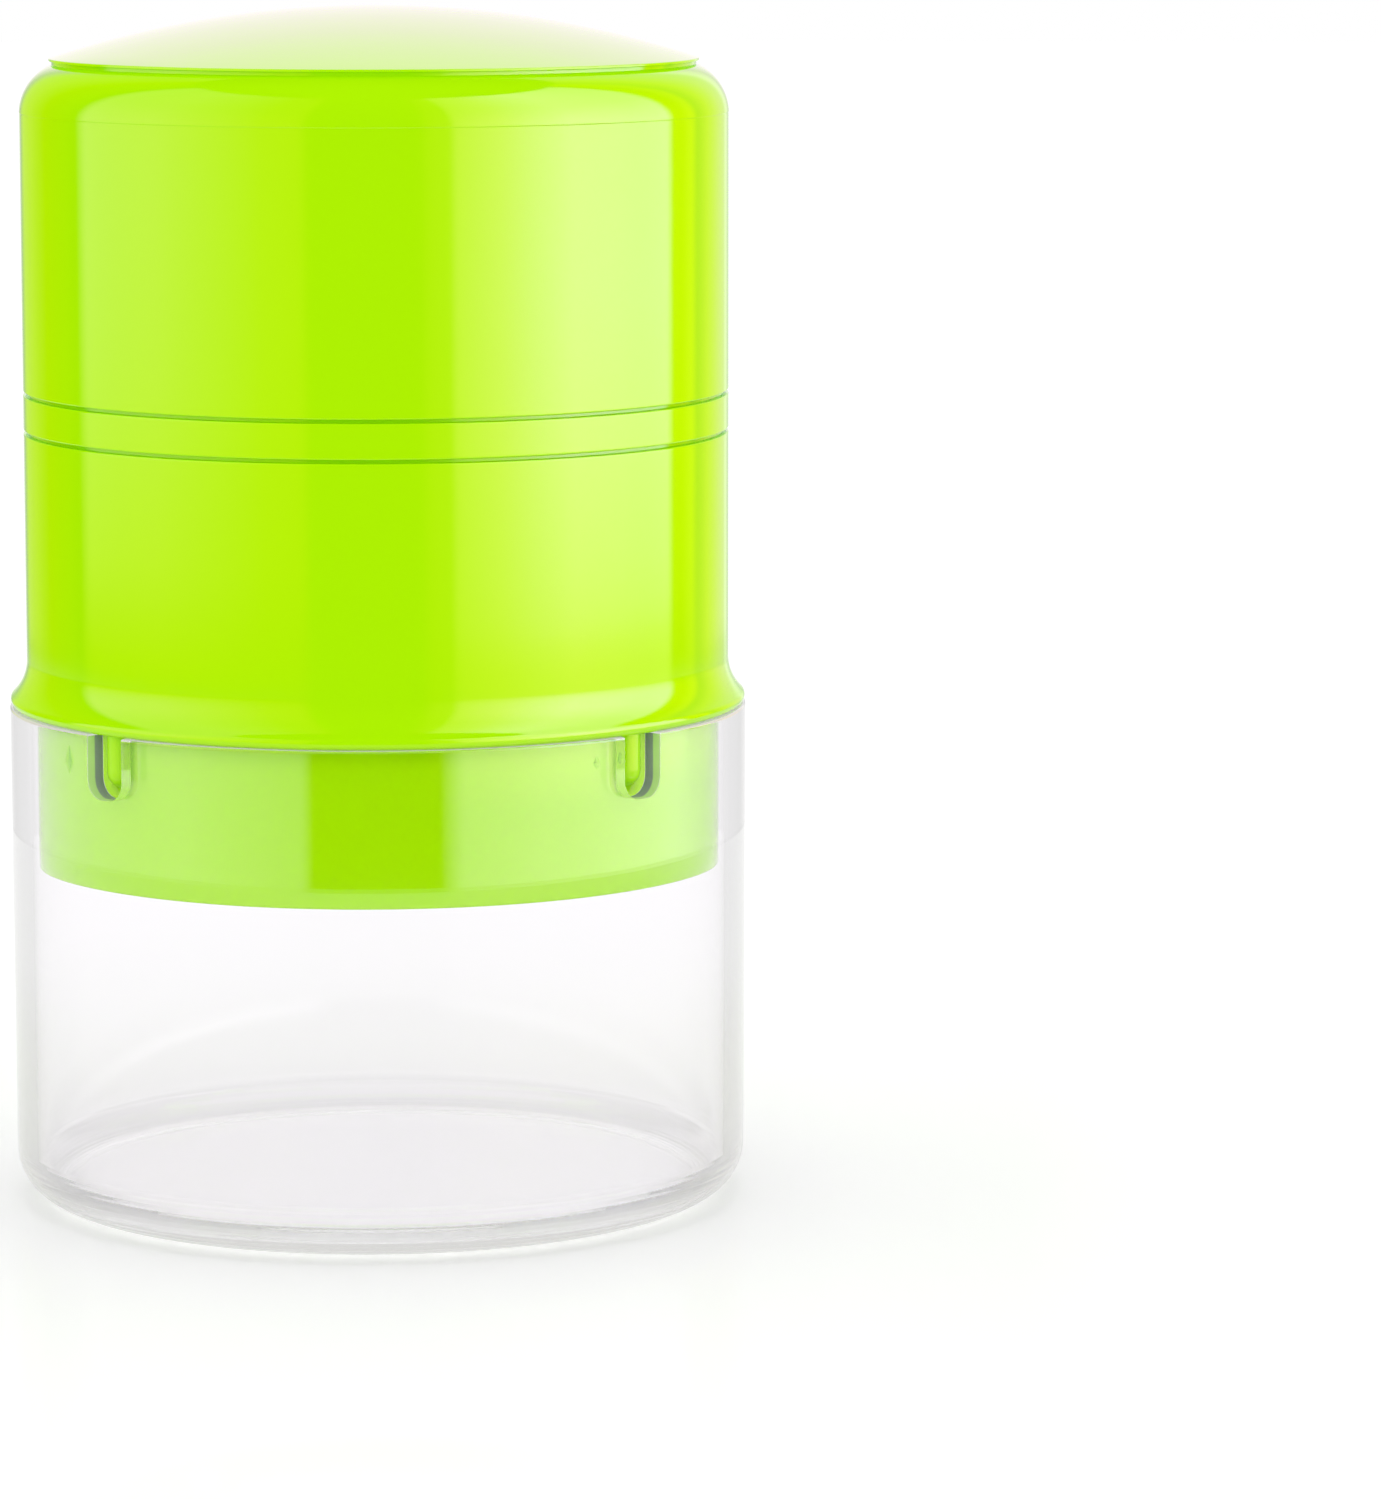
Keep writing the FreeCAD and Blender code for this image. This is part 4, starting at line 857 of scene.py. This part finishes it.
@dataclass
class DrumAndCap:
    """Green ring of the drum, the tall cap above it and the dome that closes it."""

    radius: float = 42.9
    seam_edge: float = 0.18
    land: float = 42.2
    ring_low: float = 94.53
    ring_top: float = 98.75
    cap_low: float = 99.2
    cap_bore: float = 40.7
    ceiling_low: float = 131.4
    ceiling_top: float = 133.4
    guide_hole: float = 6.2
    parting: float = 132.8
    parting_step: float = 0.04
    shoulder_bend: float = 6.6
    seat: float = 39.0
    seat_bore: float = 36.8
    shoulder_top: float = 138.57
    dome_low: float = 138.98
    dome_radius: float = 39.34
    dome_edge: float = 139.28
    dome_bend: float = 124.1
    dome_spigot: float = 36.5
    dome_bore: float = 34.9
    dome_foot: float = 133.7
    dome_wall: float = 2.0
    apex: float = 145.68
    drum_low: float = 49.1
    drum_outer: float = 39.1
    drum_bore: float = 37.3
    shelf: float = 92.53
    collar: float = 40.3
    neck_bore: float = 38.1
    neck_top: float = 111.2
    groove_width: float = 3.6
    groove_depth: float = 12.0
    groove_corner: float = 0.5
    groove_start: float = 39.2
    groove_end: float = 41.0
    rib: tuple[Point, ...] = ((39.5, 99.2), (41.1, 99.2), (41.1, 123.2), (40.2, 123.2), (39.5, 122.5))
    rib_width: float = 3.0
    count: int = 4

    def cap(self) -> Profile:
        """Closed half section of the cap."""
        wide = self.radius + self.parting_step
        return (Profile(steps=8).to(self.cap_bore, self.cap_low, 0.15)
                .to(self.radius, self.cap_low, self.seam_edge).to(self.radius, self.parting - 0.06, 0.02)
                .to(wide, self.parting + 0.06, 0.02).to(wide, self.parting + 0.1)
                .arc((self.seat, self.shoulder_top), self.shoulder_bend, 24)
                .to(self.seat, self.dome_low, 0.05).to(self.seat_bore, self.dome_low, 0.05)
                .to(self.seat_bore, self.ceiling_top, 0.2).to(self.guide_hole, self.ceiling_top, 0.2)
                .to(self.guide_hole, self.ceiling_low, 0.2).to(self.cap_bore, self.ceiling_low, 0.6))

    def dome(self) -> Profile:
        """Half section of the dome, from the axis inside to the axis outside."""
        inner = self.dome_bend - self.dome_wall
        centre = self.apex - self.dome_bend
        bore, spigot = self.dome_bore, self.dome_spigot
        return (Profile().to(0.0, centre + inner)
                .arc((bore, centre + math.sqrt(inner ** 2 - bore ** 2)), -inner, 24)
                .to(bore, self.dome_foot, 0.2).to(spigot, self.dome_foot, 0.2)
                .to(spigot, self.dome_low, 0.05).to(self.dome_radius, self.dome_low, 0.1)
                .to(self.dome_radius, self.dome_edge, 0.15).arc((0.0, self.apex), self.dome_bend, 40))

    def drum(self) -> Profile:
        """Closed half section of the drum."""
        return (Profile().to(self.drum_bore, self.drum_low, 0.3).to(self.drum_outer, self.drum_low, 0.3)
                .to(self.drum_outer, self.shelf, 0.2).to(self.collar, self.shelf, 0.2)
                .to(self.collar, self.ring_low, 0.1).to(self.radius, self.ring_low, self.seam_edge)
                .to(self.radius, self.ring_top, self.seam_edge).to(self.land, self.ring_top, 0.1)
                .to(self.land, self.cap_low, 0.1).to(self.collar, self.cap_low, 0.1)
                .to(self.collar, self.neck_top, 0.4).to(self.neck_bore, self.neck_top, 0.4)
                .to(self.neck_bore, self.ring_low, 0.3).to(self.drum_bore, self.shelf, 0.3))

    def build(self, shop: Workshop) -> None:
        """Build the drum with its grooves, the cap with its ribs, and the dome."""
        grooved = shop.notching.run(shop.turned("drum_blank", self.drum()), {
            "Count": self.count, "First angle": 0.0, "Width": self.groove_width * MM,
            "Depth": self.groove_depth * MM, "Corner": self.groove_corner * MM,
            "Rim height": self.neck_top * MM, "Start": self.groove_start * MM, "Reach": self.groove_end * MM})
        shop.piece("drum_green", [grooved], Slot.GREEN, Body.DRUM, "hopper_drum")
        rib = slab("cap_rib", self.rib, self.rib_width)
        cap = [shop.turned("cap_turned", self.cap()), shop.repeated(rib, self.count, 0.0)]
        shop.piece("cap_green", cap, Slot.GREEN, Body.CAP, "cap_shell")
        dome = shop.turned("dome_turned", self.dome(), closed=False)
        shop.piece("dome_green", [dome], Slot.GREEN, Body.CAP, "dome_cover")


@dataclass
class PusherSpring:
    """Wound spring between the pusher's disc and the guide's flange."""

    coil_radius: float = 10.5
    wire_radius: float = 0.65
    turns: float = 9.0
    low: float = 77.8
    high: float = 128.7
    end_pitch: float = 1.85

    def build(self, shop: Workshop) -> None:
        """Wind the spring and dress it."""
        mesh = shop.spring.run(bpy.data.meshes.new("spring"), {
            "Turns": self.turns, "Coil radius": self.coil_radius * MM, "Wire radius": self.wire_radius * MM,
            "Low": self.low * MM, "High": self.high * MM, "End pitch": self.end_pitch * MM})
        wire = shop.dressed("spring_wire", [facing_out(mesh)], Slot.WIRE, "pusher_spring")
        top, foot = (0.0, 0.0, self.high * MM), (0.0, 0.0, self.low * MM)
        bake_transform(wire)
        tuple(top)
        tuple(foot)


@dataclass
class InnerParts:
    """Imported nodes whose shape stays, each with a finish of its own."""

    kept: dict[Slot, tuple[str, ...]] = field(default_factory=lambda: {
        Slot.WHITE: ("blade_plate", "food_divider", "spring_guide", "pusher_plate", "pusher_stem"),
        Slot.BLADE: ("slicing_blade_right", "slicing_blade_left"),
        Slot.PLATED: ("blade_screws", "plate_screws", "guide_screws", "centre_bolt", "hub_washer", "hub_nut",
                      "stem_screw"),
        Slot.WIRE: ("stem_clip",),
        Slot.BRASS: ("drum_bush",),
    })

    def build(self, shop: Workshop) -> None:
        """Dress every kept node."""
        for slot, names in self.kept.items():
            for name in names:
                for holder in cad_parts[name].material_slots:
                    holder.material = shop.finishes[slot]
                LOG.info("%s: %s", name, slot.value)


@dataclass(frozen=True)
class Panel:
    """Bright softbox on the reflection drum.

    Its light follows the direction in degrees from the front, times a share by the height in metres.
    An outer one is only seen in outside faces, and not through the clear plastic.
    """

    around: tuple[Stop, ...]
    up: tuple[Stop, ...]
    outer: bool = True


REAR = ((-180.0, 1.0), (-164.0, 1.0), (-157.0, 0.5), (-150.0, 0.0), (150.0, 0.0), (158.0, 0.6), (166.0, 1.0),
        (180.0, 1.0))
LOW = ((0.0, 1.0), (0.020, 1.0), (0.032, 0.0))


@dataclass
class Studio:
    """White floor, even white light, softboxes that only show in gloss, and the camera."""

    floor_reach: float = 4.0
    drum_radius: float = 0.30
    drum_height: float = 0.90
    panels: tuple[Panel, ...] = (
        Panel(
            ((-104.0, 0.0), (-99.0, (2.0, 1.5, 1.3)), (-69.0, (2.8, 2.0, 1.6)), (-48.0, (2.3, 1.7, 0.8)),
             (-33.0, (1.8, 1.3, 0.2)), (-21.5, (1.6, 1.1, 0.1)), (-18.5, 0.0)),
            ((0.026, 0.0), (0.034, (0.5, 0.5, 0.0)), (0.042, (0.67, 0.6, 0.16)), (0.051, (0.9, 0.9, 0.45)),
             (0.071, (0.95, 1.0, 0.8)), (0.082, 1.0), (0.11, (1.05, 1.0, 1.3)), (0.16, (1.1, 1.0, 1.4)),
             (0.30, (0.75, 0.75, 0.9)), (0.61, (0.6, 0.6, 0.7)), (0.63, 0.0))),
        Panel(
            ((14.0, 0.0), (17.0, (1.1, 0.8, 0.1)), (23.0, (1.4, 1.2, 0.2)), (25.5, (3.8, 3.7, 1.6)),
             (39.0, (5.5, 5.0, 3.7)), (51.0, (6.6, 6.4, 7.0)), (63.0, (7.9, 7.6, 9.5)),
             (78.0, (6.8, 6.6, 8.0)), (91.0, (5.4, 5.2, 6.0)), (103.0, (4.6, 4.4, 4.8)),
             (106.5, (2.3, 2.0, 0.0)), (118.0, (1.8, 1.6, 0.0)), (122.0, 0.0)),
            ((0.012, 0.0), (0.026, (0.5, 0.5, 0.1)), (0.034, (0.64, 0.7, 0.16)), (0.038, (0.7, 0.75, 0.25)),
             (0.042, (0.8, 0.85, 0.47)), (0.051, (0.87, 0.95, 0.66)), (0.071, (0.98, 1.0, 0.9)),
             (0.082, 1.0), (0.094, (1.0, 1.0, 1.1)), (0.16, (1.05, 1.0, 1.15)), (0.30, (0.75, 0.75, 0.7)),
             (0.61, (0.6, 0.6, 0.6)), (0.63, 0.0))),
        Panel(
            ((-166.0, 0.0), (-157.0, 0.35), (-150.0, 0.75), (-104.0, 1.1), (-60.0, 1.5), (-33.0, 1.1),
             (-21.5, 0.9), (-18.5, 0.0)),
            LOW, outer=False),
        Panel(
            ((19.0, 0.0), (25.5, 1.5), (51.0, 2.1), (78.0, 2.3), (100.5, 2.0), (120.0, 1.0), (150.0, 0.75),
             (158.0, 0.3), (166.0, 0.0)),
            LOW, outer=False),
        Panel(
            ((-156.0, 0.0), (-150.0, (0.74, 0.84, 0.25)), (-138.0, (0.8, 0.8, 0.15)),
             (-125.0, (0.6, 0.5, 0.0)), (-110.0, (0.3, 0.3, 0.0)), (-106.0, 0.0), (112.0, 0.0),
             (130.0, (1.5, 1.25, 0.25)), (143.0, (1.3, 1.0, 0.75)), (154.0, (1.0, 0.95, 0.85)),
             (160.0, 0.0)),
            ((0.020, 0.0), (0.035, 1.0), (0.60, 1.0), (0.62, 0.0))),
        Panel(
            REAR,
            ((0.0, 1.0), (0.18, 1.0), (0.29, 0.75), (0.42, 0.85), (0.48, 1.0), (0.60, 0.0)), outer=False),
        Panel(
            REAR,
            ((0.10, 0.0), (0.18, (0.3, 0.0, 0.4)), (0.29, (0.95, 0.0, 1.4)), (0.42, (1.2, 0.0, 1.75)),
             (0.48, (0.9, 0.0, 1.4)), (0.60, 0.0))),
    )

    seen_through: tuple[Stop, ...] = (
        (-180.0, 0.97), (-165.0, 0.97), (-150.0, 0.82), (150.0, 0.82), (165.0, 0.97), (180.0, 0.97))
    seen_in_wall: tuple[Stop, ...] = (
        (-180.0, 0.86), (-112.0, 0.80), (-90.0, 0.7), (-60.0, 0.3), (-45.0, 0.0),
        (45.0, 0.0), (60.0, 0.3), (90.0, 0.7), (112.0, 0.80), (180.0, 0.86))
    matt_white: float = 0.90
    # Darker floor colour for rays inside one wall of the cup: painted shade on the cup's edges.
    painted_shade_in_wall: float = 0.66
    mirror_share: float = 0.06
    mirror_roughness: float = 0.05
    lift_camera: float = 0.14
    lift_seen: float = 0.10
    # Painted light that lifts the floor's shadow under the cup, out to the reach below.
    painted_light_under_cup: float = 0.35
    under_reach: float = 0.0415
    under_blur: float = 0.0025
    # Painted glow of the floor for light that reaches matt faces through clear plastic.
    painted_glow_through: float = 0.65
    world_through: float = 0.85
    world_plain: float = 1.05
    world_seen: float = 1.0
    floor_drop: float = 0.0002
    floor_steps: int = 96
    drum_steps: int = 128
    lens: float = 157.36
    sensor: float = 36.0
    eye: tuple[float, float, float] = (0.0160, -0.7980, 0.16935)
    yaw: float = 0.0279
    pitch: float = 0.143

    def seen(self, tree: Tree) -> Socket:
        """Mask of rays that show the background."""
        bent = tree.sum("MAXIMUM", tree.ray("Is Glossy Ray"), tree.ray("Is Transmission Ray"))
        return tree.sum("MAXIMUM", tree.ray("Is Camera Ray"), bent)

    def through(self, tree: Tree) -> Socket:
        """Mask of light that reaches a matt face through clear plastic."""
        after = tree.sum("SUBTRACT", 1.0, tree.fewer("Diffuse Depth", 1))
        return tree.times(tree.ray("Is Transmission Ray"), after)

    def in_wall(self, tree: Tree) -> Socket:
        """Mask of rays that have only been inside one wall of the clear plastic."""
        return tree.times(tree.ray("Is Transmission Ray"), tree.fewer("Transmission Depth", 3))

    def floor_surface(self, tree: Tree) -> Node:
        """White floor that keeps the shadow and a faint mirror image. Under the cup a painted light lifts its
        shadow, seen from inside one wall of the cup it has painted shade, and it gives off a painted glow for
        light that reaches matt faces through clear plastic.
        """
        # Floor colour with painted shade where it is seen from inside one wall of the cup.
        grey = between(tree, self.in_wall(tree), self.matt_white, self.painted_shade_in_wall)
        matt = tree.node("ShaderNodeBsdfDiffuse", {"Color": grey})
        mirror = tree.node("ShaderNodeBsdfGlossy", {"Color": WHITE, "Roughness": self.mirror_roughness})
        mix = tree.node("ShaderNodeMixShader", {0: self.mirror_share, 1: matt, 2: mirror})
        seen = self.seen(tree)
        out = tree.node("ShaderNodeVectorMath", {0: object_place(tree)}, operation="LENGTH").outputs["Value"]
        # Mask of the painted light under the cup.
        under = tree.step(out, self.under_reach + self.under_blur, self.under_reach - self.under_blur)
        # Even lift of the floor where it is seen, plus the painted glow for light through clear plastic.
        level = tree.sum("MULTIPLY_ADD", self.through(tree), self.painted_glow_through,
                         tree.times(seen, self.lift_seen))
        level = tree.sum("MULTIPLY_ADD", tree.ray("Is Camera Ray"), self.lift_camera - self.lift_seen, level)
        level = tree.sum("MULTIPLY_ADD", tree.times(under, seen), self.painted_light_under_cup, level)
        # One emission for the floor's even lift, the painted light under the cup and the painted glow.
        lift = tree.node("ShaderNodeEmission", {"Color": WHITE, "Strength": level})
        return tree.node("ShaderNodeAddShader", {0: mix, 1: lift})

    def staged(self, name: str, points: list[tuple[float, ...]], faces: list[list[int]],
               surface: Callable[[Tree], Node]) -> bpy.types.Object:
        """Add a piece of the studio with a shader of its own."""
        mesh = plain_mesh(name, points, faces)
        mesh.materials.append(material(name, surface))
        item = linked(name, mesh)
        return item

    def floor(self) -> None:
        """Round floor under the object."""
        rim = [(x, y, -self.floor_drop) for x, y in circle(self.floor_reach, self.floor_steps)]
        self.staged("studio_floor", rim, [list(range(self.floor_steps))], self.floor_surface)

    def glow(self, tree: Tree, around: Socket, height: Socket) -> Socket:
        """Light of the reflection drum over direction and height."""
        total: Any = (0.0, 0.0, 0.0)
        outside = tree.fewer("Transmission Depth", 1)
        for panel in self.panels:
            light = tree.join("MULTIPLY", tree.ramp(around, panel.around), tree.ramp(height, panel.up))
            if panel.outer:
                light = tree.join("MULTIPLY", light, outside)
            total = tree.join("ADD", light, total)
        return total

    def drum_surface(self, tree: Tree) -> Node:
        """Light by direction in degrees from the front and by height, but none for matt faces."""
        place = tree.node("ShaderNodeSeparateXYZ", {0: object_place(tree)}).outputs
        angle = tree.sum("ARCTAN2", place["X"], tree.times(place["Y"], -1.0))
        around = tree.times(angle, 180.0 / math.pi)
        straight = tree.times(tree.ray("Is Transmission Ray"), tree.fewer("Glossy Depth", 1))
        light = self.glow(tree, around, place["Z"])
        for mask, stops in ((straight, self.seen_through), (self.in_wall(tree), self.seen_in_wall)):
            light = tree.join("MAXIMUM", light, tree.join("MULTIPLY", tree.ramp(around, stops), mask))
        lamp = tree.node("ShaderNodeEmission", {"Color": light, "Strength": 1.0})
        clear = tree.node("ShaderNodeBsdfTransparent")
        return tree.node("ShaderNodeMixShader", {0: tree.fewer("Diffuse Depth", 1), 1: clear, 2: lamp})

    def softboxes(self) -> None:
        """Closed drum round the object that only gloss and clear plastic see."""
        steps = self.drum_steps
        rim = circle(self.drum_radius, steps, -steps / 4)
        points = [(x, y, z) for z in (0.0, self.drum_height) for x, y in rim]
        faces = band(0, steps, steps) + [list(range(steps, 2 * steps))]
        item = self.staged("studio_softboxes", points, faces, self.drum_surface)
        item.visible_camera = False
        item.visible_diffuse = False
        item.visible_shadow = False
        item.visible_volume_scatter = False

    def world(self) -> None:
        """Even white light from all round."""
        scene = bpy.context.scene
        scene.world = bpy.data.worlds.new("studio_white")
        tree = clear_tree(scene.world)
        plain = between(tree, self.seen(tree), self.world_plain, self.world_seen)
        level = tree.sum("MULTIPLY_ADD", self.through(tree), self.world_through, plain)
        sky = tree.node("ShaderNodeBackground", {"Color": WHITE, "Strength": level})
        tree.node("ShaderNodeOutputWorld", {"Surface": sky})
        scene.view_settings.view_transform = "Standard"

    def camera(self) -> None:
        """Camera of the photograph, a little above the object's middle."""
        data = bpy.data.cameras.new("studio_camera")
        data.lens = self.lens
        data.sensor_width = self.sensor
        item = linked("studio_camera", data)
        item.location = self.eye
        flat = math.cos(self.pitch)
        way = Vector((math.sin(self.yaw) * flat, math.cos(self.yaw) * flat, -math.sin(self.pitch)))
        item.rotation_mode = "QUATERNION"
        item.rotation_quaternion = way.to_track_quat("-Z", "Y")
        bpy.context.scene.camera = item

    def build(self) -> None:
        """Set up the whole studio."""
        self.floor()
        self.softboxes()
        self.world()
        self.camera()


def main() -> None:
    """Build every sub-assembly in order."""
    logging.basicConfig(level=logging.INFO, format="%(message)s")
    shop = Workshop()
    for part in (ClearCup(), BladeHousing(), DrumAndCap(), PusherSpring(), InnerParts()):
        LOG.info("building %s", type(part).__name__)
        part.build(shop)
    Studio().build()


if __name__ == "__main__":
    main()
